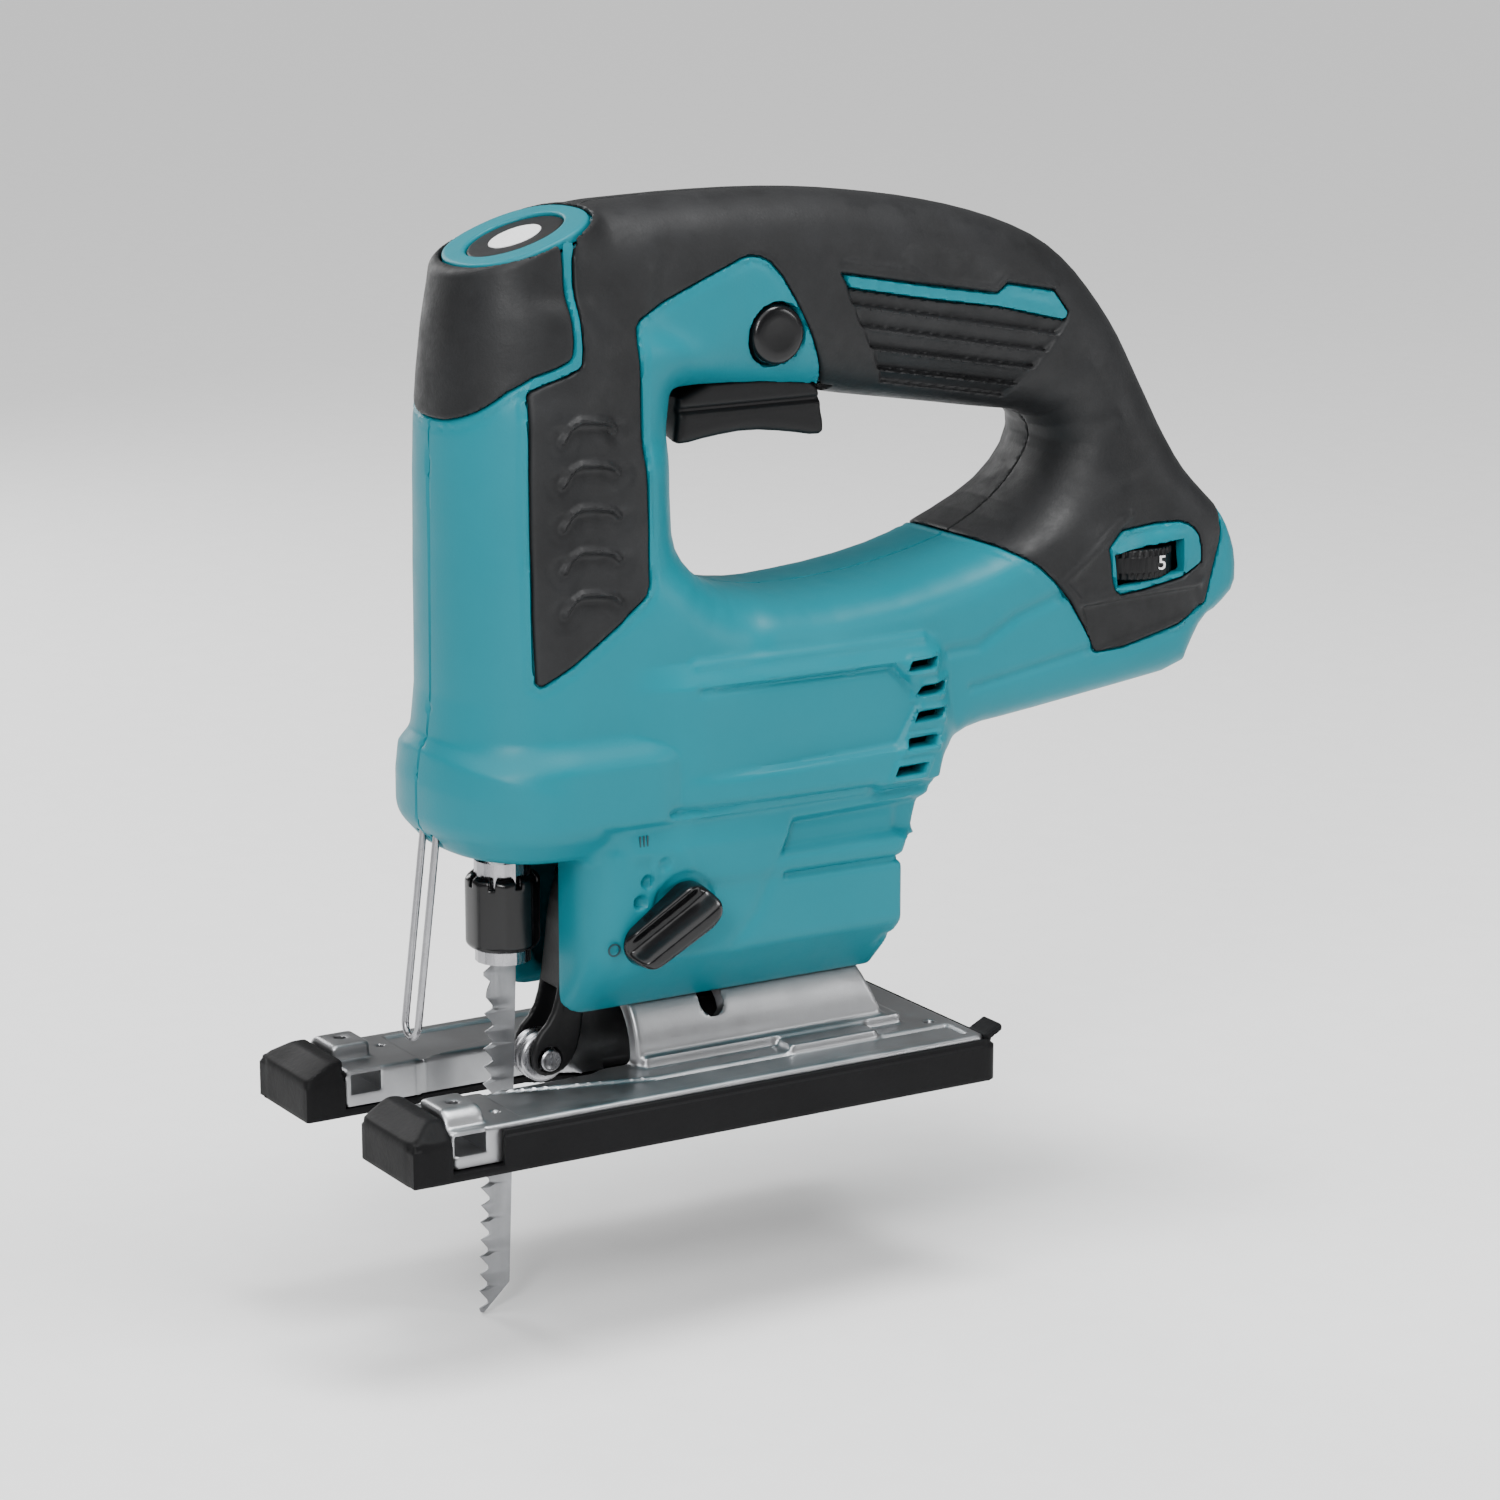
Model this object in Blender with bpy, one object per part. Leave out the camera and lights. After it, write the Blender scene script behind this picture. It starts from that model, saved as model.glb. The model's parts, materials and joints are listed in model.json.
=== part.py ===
"""Cordless top-handle jigsaw: every physical piece is its own solid, at rest, in metres.

+Z is up, the sole lies on Z = 0, the blade's teeth face -Y and the operator's left is +X.
All sizes below are millimetres; mesh_object() turns them into metres.
"""

import math

import bmesh
import bpy
from mathutils import Matrix, Vector

MM = 0.001
GAP = 0.35

# Base
BASE_LENGTH = 147.5
BASE_WIDTH = 76.4
COVER_FLOOR = 1.6
PLATE_BOTTOM = 2.0
PLATE_TOP = 9.9
SLOT_HALF = 13.3
BEVEL_AXIS_Z = 12.5
SADDLE_RADIUS = 17.0
SADDLE_WALL = 3.6
SADDLE_FRONT = -8.0
SADDLE_REAR = 55.0
BOLT_Y = 12.5

# Housing
WALL = 3.6
SKIN = 1.5
LIP_HALF = 13.0
LIP_Z = 23.0
GEAR_HALF = 27.5
TOP_TILT = math.radians(20.5)
TOP_CENTRE = (-27.1, 193.1)
TOP_RADII = (17.4, 14.8)
EYE_RADII = (10.6, 10.9)

# Drive
STROKE = 18.0
PLUNGER_Y = -32.0
ROD_RADIUS = 4.2
COLLAR_RADIUS = 8.3
MOTOR_Z = 85.0
CRANK_Z = 108.4
ROLLER_CENTRE = (-23.4, 11.5)
ROLLER_RADIUS = 5.7
HOLDER_PIVOT = (-12.0, 50.0)
BLADE_TIP_Z = -46.1
BLADE_WIDTH = 7.3
BLADE_RAKE = 0.036
TOOTH_DEPTH = 1.9
POINT_Z = -40.0
SHANK_STEP = 1.6
TOOTH_PITCH = 4.0

# Controls
LEVER_PIVOT = (-2.1, 49.2)
TRIGGER_PIVOT = (9.0, 158.0)
LOCK_CENTRE = (28.1, 169.8)
DIAL_CENTRE = (14.0, 122.3, 111.2)
DIAL_RADIUS = 12.0

SCREWS = ((-40.0, 172.0), (-42.0, 128.0), (-12.0, 184.0), (64.0, 186.0), (50.0, 58.0), (120.0, 152.0))
SCREW_SHANK = 1.5
SCREW_HEAD = 3.2


def clear_scene():
    for found in list(bpy.data.objects):
        bpy.data.objects.remove(found)


def material(name, colour, roughness, metallic=0.0):
    made = bpy.data.materials.get(name)
    if made is None:
        made = bpy.data.materials.new(name)
        made.use_nodes = True
        shader = made.node_tree.nodes["Principled BSDF"]
        shader.inputs["Base Color"].default_value = (*colour, 1.0)
        shader.inputs["Roughness"].default_value = roughness
        shader.inputs["Metallic"].default_value = metallic
    return made


def teal():
    return material("housing_teal", (0.0, 0.33, 0.42), 0.42)


def rubber():
    return material("grip_rubber", (0.035, 0.036, 0.038), 0.72)


def black_plastic():
    return material("black_plastic", (0.012, 0.012, 0.014), 0.35)


def cast_aluminium():
    return material("cast_aluminium", (0.62, 0.63, 0.65), 0.38, 1.0)


def steel():
    return material("bright_steel", (0.58, 0.58, 0.6), 0.25, 1.0)


def dark_steel():
    return material("dark_steel", (0.09, 0.09, 0.1), 0.4, 1.0)


def copper():
    return material("winding_copper", (0.7, 0.3, 0.12), 0.4, 1.0)


def board_green():
    return material("board_green", (0.03, 0.16, 0.07), 0.5)


def lens_clear():
    return material("lamp_lens", (0.85, 0.88, 0.9), 0.1)


def mesh_object(name, bm, look=None):
    """A scene object from millimetre geometry: flat triangles that point out."""
    bm.normal_update()
    bmesh.ops.triangulate(bm, faces=bm.faces)
    bmesh.ops.scale(bm, vec=(MM, MM, MM), verts=bm.verts)
    bmesh.ops.recalc_face_normals(bm, faces=bm.faces)
    mesh = bpy.data.meshes.new(name)
    bm.to_mesh(mesh)
    bm.free()
    made = bpy.data.objects.new(name, mesh)
    bpy.context.scene.collection.objects.link(made)
    if look is not None:
        mesh.materials.append(look)
    return made


def volume(mesh):
    """The closed volume in cubic metres, or None for a mesh that is open or empty."""
    bm = bmesh.new()
    bm.from_mesh(mesh)
    closed = len(bm.faces) > 3 and all(edge.is_manifold for edge in bm.edges)
    size = bm.calc_volume(signed=True) if closed else None
    bm.free()
    return size


def plausible(size, target, other, operation):
    if size is None:
        return False
    mine, its = volume(target), volume(other)
    slack = 1e-6 * max(mine, its)
    if operation == "UNION":
        return max(mine, its) - slack <= size <= mine + its + slack
    if operation == "DIFFERENCE":
        return max(mine - its, 0.0) - slack <= size < mine - slack
    return 0.0 < size <= min(mine, its) + slack


def combine(target, other, operation):
    """Applies one Boolean and removes the second object; MANIFOLD only where EXACT fails."""
    step = target.modifiers.new(operation.lower(), "BOOLEAN")
    step.operation = operation
    step.object = other
    for solver in ("EXACT", "MANIFOLD"):
        step.solver = solver
        graph = bpy.context.evaluated_depsgraph_get()
        result = bpy.data.meshes.new_from_object(target.evaluated_get(graph))
        if plausible(volume(result), target.data, other.data, operation):
            break
    target.modifiers.clear()
    target.data = result
    bpy.data.objects.remove(other)
    return target


def add(target, *others):
    for other in others:
        combine(target, other, "UNION")
    return target


def cut(target, *others):
    for other in others:
        combine(target, other, "DIFFERENCE")
    return target


def keep(target, other):
    return combine(target, other, "INTERSECT")


def copy_of(source, name):
    made = source.copy()
    made.data = source.data.copy()
    made.name = name
    bpy.context.scene.collection.objects.link(made)
    return made


def loft(name, rings, look=None):
    """A closed body through rings that have the same number of points."""
    bm = bmesh.new()
    loops = [[bm.verts.new(point) for point in ring] for ring in rings]
    count = len(loops[0])
    for low, high in zip(loops, loops[1:]):
        for i in range(count):
            j = (i + 1) % count
            bm.faces.new((low[i], low[j], high[j], high[i]))
    bm.faces.new(list(reversed(loops[0])))
    bm.faces.new(loops[-1])
    return mesh_object(name, bm, look)


def prism(name, outline, axis, low, high, look=None):
    """An outline extruded along X (points are y, z) or along Z (points are x, y) or Y (x, z)."""
    place = {
        "X": lambda p, t: (t, p[0], p[1]),
        "Y": lambda p, t: (p[0], t, p[1]),
        "Z": lambda p, t: (p[0], p[1], t),
    }[axis]
    return loft(name, [[place(p, t) for p in outline] for t in (low, high)], look)


def box(name, x, y, z, look=None):
    corners = ((x[0], y[0]), (x[1], y[0]), (x[1], y[1]), (x[0], y[1]))
    return prism(name, corners, "Z", z[0], z[1], look)


def circle(centre, radius, count=16, start=0.0, sweep=math.tau):
    """Points on an arc; a full turn leaves out the repeated last point."""
    steps = count if sweep >= math.tau else count - 1
    angles = [start + sweep * i / steps for i in range(count)]
    return [(centre[0] + radius * math.cos(a), centre[1] + radius * math.sin(a)) for a in angles]


def turned(name, profile, centre, axis, look=None, count=16):
    """A turned body on an axis: the profile is (radius, place along the axis), all radii over zero."""
    rings = []
    for radius, along in profile:
        ring = []
        for u, v in circle((0.0, 0.0), radius, count):
            ring.append({"X": (along, u, v), "Y": (v, along, u), "Z": (u, v, along)}[axis])
        rings.append([tuple(p + c for p, c in zip(point, centre)) for point in ring])
    return loft(name, rings, look)


def rod(name, centre, axis, radius, low, high, look=None, count=16):
    return turned(name, ((radius, low), (radius, high)), centre, axis, look, count)


def oval_ring(half_x, half_v, power, count=24):
    """(x, v) points on a superellipse."""
    ring = []
    for i in range(count):
        angle = math.tau * (i + 0.5) / count
        x = math.copysign(abs(math.cos(angle)) ** (2.0 / power), math.cos(angle))
        v = math.copysign(abs(math.sin(angle)) ** (2.0 / power), math.sin(angle))
        ring.append((half_x * x, half_v * v))
    return ring


# The outer form. Each builder takes an inset, so that skins and cavities follow the same surface.

COLUMN = (  # z, half width, front y, rear y, squareness
    (61.5, 26.0, -49.6, 6.0, 2.6),
    (64.5, 29.0, -52.6, 6.0, 2.6),
    (80.0, 29.0, -52.6, 6.0, 2.6),
    (88.0, 25.6, -49.0, 5.2, 2.6),
    (150.0, 24.8, -48.4, 4.6, 2.6),
    (170.0, 23.0, -46.8, 2.0, 2.5),
)


def column(inset):
    rings = []
    for z, half, front, rear, power in COLUMN:
        level = z + inset if z == COLUMN[0][0] else z
        middle = (front + rear) / 2
        ring = oval_ring(half - inset, (rear - front) / 2 - inset, power)
        rings.append([(x, middle + v, level) for x, v in ring])
    slope = math.tan(TOP_TILT)
    front, rear = -42.2 + inset, -6.0 - inset
    ring = oval_ring(19.0 - inset, (rear - front) / 2, 2.4)
    middle = (front + rear) / 2
    top = TOP_CENTRE[1] - inset / math.cos(TOP_TILT)
    rings.append([(x, middle + v, top + slope * (middle + v - TOP_CENTRE[0])) for x, v in ring])
    return loft("column_form", rings)


HANDLE = (  # y, z, half width, half height
    (-16.0, 178.0, 19.5, 18.6),
    (4.0, 179.0, 17.5, 20.6),
    (30.0, 178.2, 17.2, 21.3),
    (50.0, 175.8, 17.2, 22.9),
    (70.0, 173.3, 17.2, 22.8),
    (87.0, 168.4, 17.4, 22.2),
    (101.0, 160.2, 17.8, 20.8),
    (111.0, 149.0, 18.4, 18.2),
    (117.5, 137.0, 20.0, 17.0),
    (120.5, 124.0, 22.5, 19.0),
    (120.0, 106.0, 22.5, 20.0),
)


def handle(inset):
    centres = [Vector((0.0, y, z)) for y, z, _, _ in HANDLE]
    rings = []
    for i, (y, z, half, height) in enumerate(HANDLE):
        along = (centres[min(i + 1, len(centres) - 1)] - centres[max(i - 1, 0)]).normalized()
        across = along.cross(Vector((1.0, 0.0, 0.0)))
        centre = centres[i]
        if i in (0, len(HANDLE) - 1):
            centre = centre + along * (inset if i == 0 else -inset)
        ring = oval_ring(half - inset, height - inset, 2.5)
        rings.append([tuple(centre + Vector((x, 0.0, 0.0)) + across * v) for x, v in ring])
    return loft("handle_form", rings)


def blocks(name, stations, inset, power):
    """Rounded boxes along Y: each station is y, half width, bottom z, top z."""
    rings = []
    for i, (y, half, low, high) in enumerate(stations):
        place = y + inset if i == 0 else y - inset if i == len(stations) - 1 else y
        ring = oval_ring(half - inset, (high - low) / 2 - inset, power)
        rings.append([(x, place, (high + low) / 2 + v) for x, v in ring])
    return loft(name, rings)


MOTOR_BLOCK = (
    (-22.0, 26.0, 62.0, 108.0),
    (-8.0, 29.0, 57.5, 112.5),
    (44.0, 29.0, 56.0, 112.0),
    (60.0, 28.5, 57.0, 113.0),
    (65.5, 26.0, 72.0, 113.0),
)
TUBE = (
    (38.0, 24.0, 66.0, 111.5),
    (66.0, 24.6, 73.5, 114.5),
    (89.0, 25.0, 77.0, 120.5),
    (112.0, 25.6, 80.4, 128.0),
    (137.0, 25.4, 83.4, 127.5),
    (144.5, 24.6, 95.0, 122.0),
    (152.4, 21.5, 100.5, 113.5),
)


def motor_block(inset):
    return blocks("motor_form", MOTOR_BLOCK, inset, 5.0)


def tube(inset):
    return blocks("tube_form", TUBE, inset, 4.2)


def gear_block(hollow):
    """The lower block: 45-degree flanks clear the base at full bevel."""
    inset = WALL if hollow else 0.0
    floor = 33.5 if hollow else LIP_Z
    lip = 18.0 if hollow else LIP_HALF
    top = 67.3 if hollow else 63.0
    stations = ((-25.0, 21.0), (-17.0, GEAR_HALF), (49.5, GEAR_HALF), (54.0, 25.5))
    rings = []
    for i, (y, half) in enumerate(stations):
        place = y + inset if i == 0 else y - inset if i == 3 else y
        side = max(half - inset, lip + 2.0)
        shoulder = floor + (side - lip)
        right = [(lip, floor), (side, shoulder), (side, top)]
        left = [(-x, z) for x, z in reversed(right)]
        rings.append([(x, place, z) for x, z in right + left])
    return loft("gear_form", rings)


def skin_form(inset):
    return add(column(inset), handle(inset), tube(inset))


def full_form():
    return add(skin_form(0.0), motor_block(0.0), gear_block(False))


def cavity_form():
    return add(skin_form(WALL), motor_block(WALL))


GRIP_OUTLINE = (
    (-35.5, 164.0), (-35.5, 101.5), (-32.5, 100.5), (-9.5, 117.0), (-8.5, 130.0), (-9.5, 172.0),
    (-6.5, 175.0), (20.5, 186.0), (26.0, 185.8), (33.5, 181.0), (38.6, 170.0), (44.6, 155.0),
    (45.4, 140.0), (66.0, 130.0), (76.0, 122.6), (90.0, 116.5), (98.0, 108.5), (106.5, 95.0),
    (107.0, 91.5), (138.5, 98.0), (143.8, 118.0), (143.8, 215.0), (-8.0, 215.0), (-8.0, 206.0),
    (-24.0, 200.0), (-22.5, 172.0),
)
CAP_OUTLINE = (
    (-60.0, 154.7), (-47.8, 154.7), (-36.6, 166.6), (-25.2, 172.4), (-26.6, 206.0), (-60.0, 206.0),
)


def offset_outline(outline, distance):
    """Moves each corner out by the distance, along its mitre."""
    area = sum(a[0] * b[1] - b[0] * a[1] for a, b in zip(outline, outline[1:] + outline[:1]))
    turn = 1.0 if area > 0 else -1.0
    moved = []
    for i, here in enumerate(outline):
        before, after = Vector(outline[i - 1]), Vector(outline[(i + 1) % len(outline)])
        first = (Vector(here) - before).normalized()
        second = (after - Vector(here)).normalized()
        normals = [Vector((d.y, -d.x)) * turn for d in (first, second)]
        mitre = (normals[0] + normals[1]).normalized()
        moved.append(tuple(Vector(here) + mitre * distance / max(mitre.dot(normals[0]), 0.4)))
    return moved


def top_plug(name, grow, depth, radii=TOP_RADII, rise=0.0, look=None, count=20):
    """A tilted elliptical plate let into the column's top."""
    normal = Vector((0.0, -math.sin(TOP_TILT), math.cos(TOP_TILT)))
    along = Vector((0.0, math.cos(TOP_TILT), math.sin(TOP_TILT)))
    centre = Vector((0.0, *TOP_CENTRE))
    rings = []
    for level in (-depth, rise):
        ring = []
        for x, v in oval_ring(radii[0] + grow, radii[1] + grow, 2.2, count):
            ring.append(tuple(centre + Vector((x, 0.0, 0.0)) + along * v + normal * level))
        rings.append(ring)
    return loft(name, rings, look)


def half_space(side, gap=0.15):
    x = (gap, 60.0) if side > 0 else (-60.0, -gap)
    return box("half_space", x, (-120.0, 200.0), (-20.0, 260.0))


def screw_cutters(side):
    cutters = []
    for y, z in SCREWS:
        cutters.append(rod("bore", (0, y, z), "X", SCREW_SHANK + GAP, -30.0, 11.0, count=8))
        if side < 0:
            cutters.append(rod("sink", (0, y, z), "X", SCREW_HEAD + GAP, -30.0, -8.0 + GAP, count=12))
    return cutters


def bosses():
    return [rod("boss", (0, y, z), "X", 4.6, -40.0, 40.0, count=8) for y, z in SCREWS]


def vent_slots(side):
    """Five slots stepped along the rear edge of the motor block."""
    made = []
    for y, z in ((58.7, 95.8), (61.5, 89.9), (60.6, 84.2), (58.1, 78.4), (54.7, 72.6)):
        x = (21.0, 40.0) if side > 0 else (-40.0, -21.0)
        made.append(box("vent", x, (y - 4.2, y + 3.4), (z - 1.0, z + 1.0)))
    return made


def dial_window():
    return box("window", (10.0, 40.0), (112.4, 132.6), (106.4, 116.0))


def trigger_slot():
    return box("trigger_slot", (-9.4, 9.4), (2.5, 46.4), (140.0, 164.5))


def lock_bore():
    return rod("lock_bore", (0, *LOCK_CENTRE), "X", 7.1, -30.0, 30.0)


def housing_cutters(side):
    """Openings shared by the two halves of the housing."""
    pocket = box("pocket", (-10.5, 10.5), (-40.0, -5.5), (15.0, 60.0))
    throat = rod("throat", (0, PLUNGER_Y, 0), "Z", 12.6, 50.0, 68.0)
    channel = rod("channel", (0, 0, BEVEL_AXIS_Z), "Y", SADDLE_RADIUS + GAP, -60.0, 80.0, count=40)
    bolt = rod("bolt_bore", (0, BOLT_Y, 0), "Z", 2.9, 25.0, 36.0, count=16)
    socket = box("battery_socket", (-17.0, 17.0), (98.0, 170.0), (60.0, 93.0))
    gears = rod("gear_room", (0, 0, CRANK_Z), "Y", 18.0, -12.0, -2.5, count=24)
    made = [gears, lock_bore(), pocket, throat, channel, bolt, trigger_slot(), socket, *vent_slots(side)]
    if side > 0:
        shaft = rod("lever_bore", (0, *LEVER_PIVOT), "X", 3.5, 15.0, 40.0)
        made += [shaft, dial_window()]
    for x in (-13.0, 13.0):
        made.append(rod("lamp_bore", (x, -40.0, 0), "Z", 2.6, 55.0, 68.0, count=12))
    for x in (-3.1, 3.1):
        made.append(rod("wire_bore", (x, -49.3, 0), "Z", 1.3, 55.0, 70.0, count=8))
    made += screw_cutters(side)
    return made


def skin_cutter(column_plug):
    """What the grips and the front cap take away from the housing."""
    grip = prism("grip_cut", offset_outline(GRIP_OUTLINE, GAP), "X", -60.0, 60.0)
    cap = prism("cap_cut", offset_outline(CAP_OUTLINE, GAP), "X", -60.0, 60.0)
    add(grip, cap)
    cut(grip, skin_form(SKIN + GAP))
    return add(grip, column_plug)


def ribs():
    """Walls inside the housing that seat the guides, the motor and its rear bearing."""
    made = []
    for low, high in ((70.0, 75.0), (140.0, 144.0)):
        seat = box("seat", (-40.0, 40.0), (-60.0, -19.0), (low, high))
        made.append(cut(seat, rod("guide_seat", (0, PLUNGER_Y, 0), "Z", 8.6 + GAP, 60.0, 170.0)))
    frame = box("frame", (-40.0, 40.0), (29.0, 32.0), (40.0, 108.0))
    made.append(cut(frame, rod("motor_seat", (0, 0, MOTOR_Z), "Y", 20.5 + GAP, 20.0, 60.0, count=36)))
    rear = box("rear_wall", (-40.0, 40.0), (63.6, 66.2), (60.0, 108.0))
    made.append(cut(rear, rod("bearing_seat", (0, 0, MOTOR_Z), "Y", 6.6 + GAP, 50.0, 80.0)))
    return made


def housings():
    solid = cut(full_form(), skin_cutter(top_plug("plug", GAP, 2.4, rise=14.0)))
    hollow = cut(cavity_form(), *bosses(), *ribs())
    lower = cut(gear_block(True), *bosses(), *ribs())
    for side, name in ((1, "left_housing"), (-1, "right_housing")):
        half = keep(copy_of(solid, name), half_space(side))
        cut(half, copy_of(hollow, "hollow"), copy_of(lower, "lower"), *housing_cutters(side))
        finish(half, teal())
    bpy.data.objects.remove(solid)
    bpy.data.objects.remove(hollow)
    bpy.data.objects.remove(lower)


def grips():
    skin = skin_form(0.0)
    cut(skin, skin_form(SKIN))
    cut(skin, trigger_slot(), lock_bore())
    cut(skin, top_plug("plug", GAP, 6.0, rise=14.0))
    cap = copy_of(skin, "front_cap")
    keep(cap, prism("cap_region", CAP_OUTLINE, "X", -60.0, 60.0))
    cut(cap, *[rod("boss_clear", (0, *SCREWS[0]), "X", SCREW_HEAD + 0.8, -60.0, -5.0, count=16)])
    finish(cap, rubber())
    keep(skin, prism("grip_region", GRIP_OUTLINE, "X", -60.0, 60.0))
    for side, name in ((1, "left_grip"), (-1, "right_grip")):
        half = copy_of(skin, name)
        keep(half, half_space(side))
        if side > 0:
            cut(half, box("dial_frame", (10.0, 40.0), (110.0, 136.0), (103.6, 121.5)))
        else:
            for y, z in SCREWS[2:]:
                cut(half, rod("sink", (0, y, z), "X", SCREW_HEAD + GAP, -60.0, -5.0, count=16))
        finish(half, rubber())
    bpy.data.objects.remove(skin)


def join_flats(obj):
    """Joins flat neighbours into larger faces, as far as that keeps the body closed."""
    for angle in (0.3, 0.1, 0.03, 0.01, 0.001, None):
        bm = bmesh.new()
        bm.from_mesh(obj.data)
        bmesh.ops.dissolve_degenerate(bm, dist=0.000002, edges=bm.edges)
        if angle is not None:
            limit = math.radians(angle)
            bmesh.ops.dissolve_limit(bm, angle_limit=limit, verts=bm.verts, edges=bm.edges)
        bm.normal_update()
        bmesh.ops.triangulate(bm, faces=bm.faces)
        bmesh.ops.dissolve_degenerate(bm, dist=0.000002, edges=bm.edges)
        closed = all(edge.is_manifold for edge in bm.edges)
        if closed:
            bm.to_mesh(obj.data)
        bm.free()
        if closed:
            break


def finish(obj, look):
    """Names the look and shades the round faces smooth."""
    join_flats(obj)
    obj.data.materials.clear()
    obj.data.materials.append(look)
    obj.data.shade_smooth()
    obj.data.set_sharp_from_angle(angle=math.radians(35.0))
    return obj


def top_trim():
    ring = top_plug("top_ring", 0.0, 2.0, look=teal())
    cut(ring, top_plug("eye", GAP, 4.0, radii=EYE_RADII, rise=4.0))
    finish(ring, teal())
    lens = top_plug("top_lens", 0.0, 1.6, radii=EYE_RADII, rise=-0.3, look=black_plastic())
    finish(lens, black_plastic())


def screws():
    for number, (y, z) in enumerate(SCREWS, 1):
        profile = (
            (SCREW_HEAD * 0.86, -11.2), (SCREW_HEAD, -10.6), (SCREW_HEAD, -8.0),
            (SCREW_SHANK, -8.0), (SCREW_SHANK, 9.4), (0.5, 10.4),
        )
        screw = turned(f"housing_screw_{number}", profile, (0, y, z), "X", steel(), 12)
        cross = box("cross", (-12.0, -9.6), (y - 1.7, y + 1.7), (z - 0.4, z + 0.4))
        add(cross, box("bar", (-12.0, -9.6), (y - 0.4, y + 0.4), (z - 1.7, z + 1.7)))
        cut(screw, cross)
        finish(screw, steel())


# Base


def mirrored_x(points):
    """Closes a right-hand outline of (x, y) with its mirror image."""
    return list(points) + [(-x, y) for x, y in reversed(points)]


def base_outline(half, front, rear, gap, corner):
    """The fork: two prongs around the blade slot, which widens beside the blade."""
    return mirrored_x([
        (6.0 + gap, -4.0 + gap), (14.6 + gap, -19.0), (14.6 + gap, -44.0), (SLOT_HALF + gap, -47.0),
        (SLOT_HALF + gap, front), (half - corner, front), (half, front + corner),
        (half, rear - corner), (half - corner, rear),
    ])


def bumper(side):
    """A prong's nose: upright front, then chamfers up to its crown."""
    inner, outer = SLOT_HALF, BASE_WIDTH / 2
    front = -BASE_LENGTH / 2
    low = [(inner, front), (outer - 4.0, front), (outer, front + 4.0), (outer, -64.4), (inner, -64.4)]
    high = [
        (inner + 1.0, front + 6.0), (outer - 6.5, front + 6.0), (outer - 4.5, front + 8.0),
        (outer - 4.5, -64.4), (inner + 1.0, -64.4),
    ]
    rings = [[(side * x, y, z) for x, y in low] for z in (0.0, 9.2)]
    rings.append([(side * x, y, 12.9) for x, y in high])
    return loft("bumper", rings)


def base_cover():
    half, front, rear = BASE_WIDTH / 2, -BASE_LENGTH / 2, BASE_LENGTH / 2
    cover = prism("base_cover", base_outline(half, front, rear, 0.0, 3.0), "Z", 0.0, 9.4)
    well = prism("well", mirrored_x([
        (half - 1.8, rear - 1.8), (half - 1.8, -53.0), (half + 4.0, -53.0), (half + 4.0, -64.4),
        (5.0, -64.4), (5.0, -60.0),
    ]), "Z", COVER_FLOOR, 30.0)
    cut(cover, well)
    add(cover, bumper(1), bumper(-1))
    tab = prism("tab", ((71.9, 8.4), (73.4, 8.4), (77.2, 10.6), (77.2, 11.8), (71.9, 9.4)), "X", 8.0, half - 1.5)
    add(cover, tab)
    finish(cover, black_plastic())


def prong_bridge(side):
    """The raised bridge over the rip-fence slot, with its set-screw hole."""
    profile = [(18.0, 9.0), (22.0, 14.0), (31.5, 14.0), (34.5, 11.0), (34.5, 9.0)]
    bridge = prism("bridge", [(side * x, z) for x, z in profile], "Y", -64.0, -54.0)
    return bridge


def saddle():
    outer = rod("saddle", (0, 0, BEVEL_AXIS_Z), "Y", SADDLE_RADIUS, SADDLE_FRONT, SADDLE_REAR, count=48)
    keep(outer, box("above", (-30.0, 30.0), (-60.0, 80.0), (PLATE_BOTTOM + 2.0, 60.0)))
    return outer


def arch_slot():
    """The bolt's slot, long enough for 45 degrees of bevel each way."""
    reach = math.radians(57.0)
    radius = SADDLE_RADIUS + 6.0
    fan = [(0.0, BEVEL_AXIS_Z)] + [
        (x, z) for x, z in circle((0.0, BEVEL_AXIS_Z), radius, 13, math.pi / 2 - reach, 2 * reach)
    ]
    return prism("arch_slot", fan, "Y", BOLT_Y - 3.0, BOLT_Y + 3.0)


def base_plate():
    half = BASE_WIDTH / 2 - 1.8 - GAP
    front, rear = -64.4 + GAP, BASE_LENGTH / 2 - 1.8 - GAP
    outline = base_outline(half, front, rear, 0.3, 1.5)
    plate = prism("base_plate", outline, "Z", PLATE_BOTTOM, PLATE_TOP, cast_aluminium())
    add(plate, saddle(), prong_bridge(1), prong_bridge(-1))
    tunnel = rod("tunnel", (0, 0, BEVEL_AXIS_Z), "Y", SADDLE_RADIUS - SADDLE_WALL, -20.0, 47.0, count=40)
    cut(plate, tunnel)
    cut(plate, box("bolt_access", (-10.0, 10.0), (-2.0, 44.0), (-5.0, 12.0)))
    cut(plate, arch_slot())
    cut(plate, box("fence_slot", (-60.0, 60.0), (-63.0, -55.4), (4.6, 9.3)))
    for side in (-1, 1):
        cut(plate, rod("set_screw_hole", (side * 27.0, -59.0, 0), "Z", 1.3, 9.0, 20.0, count=12))
    finish(plate, cast_aluminium())


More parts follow.
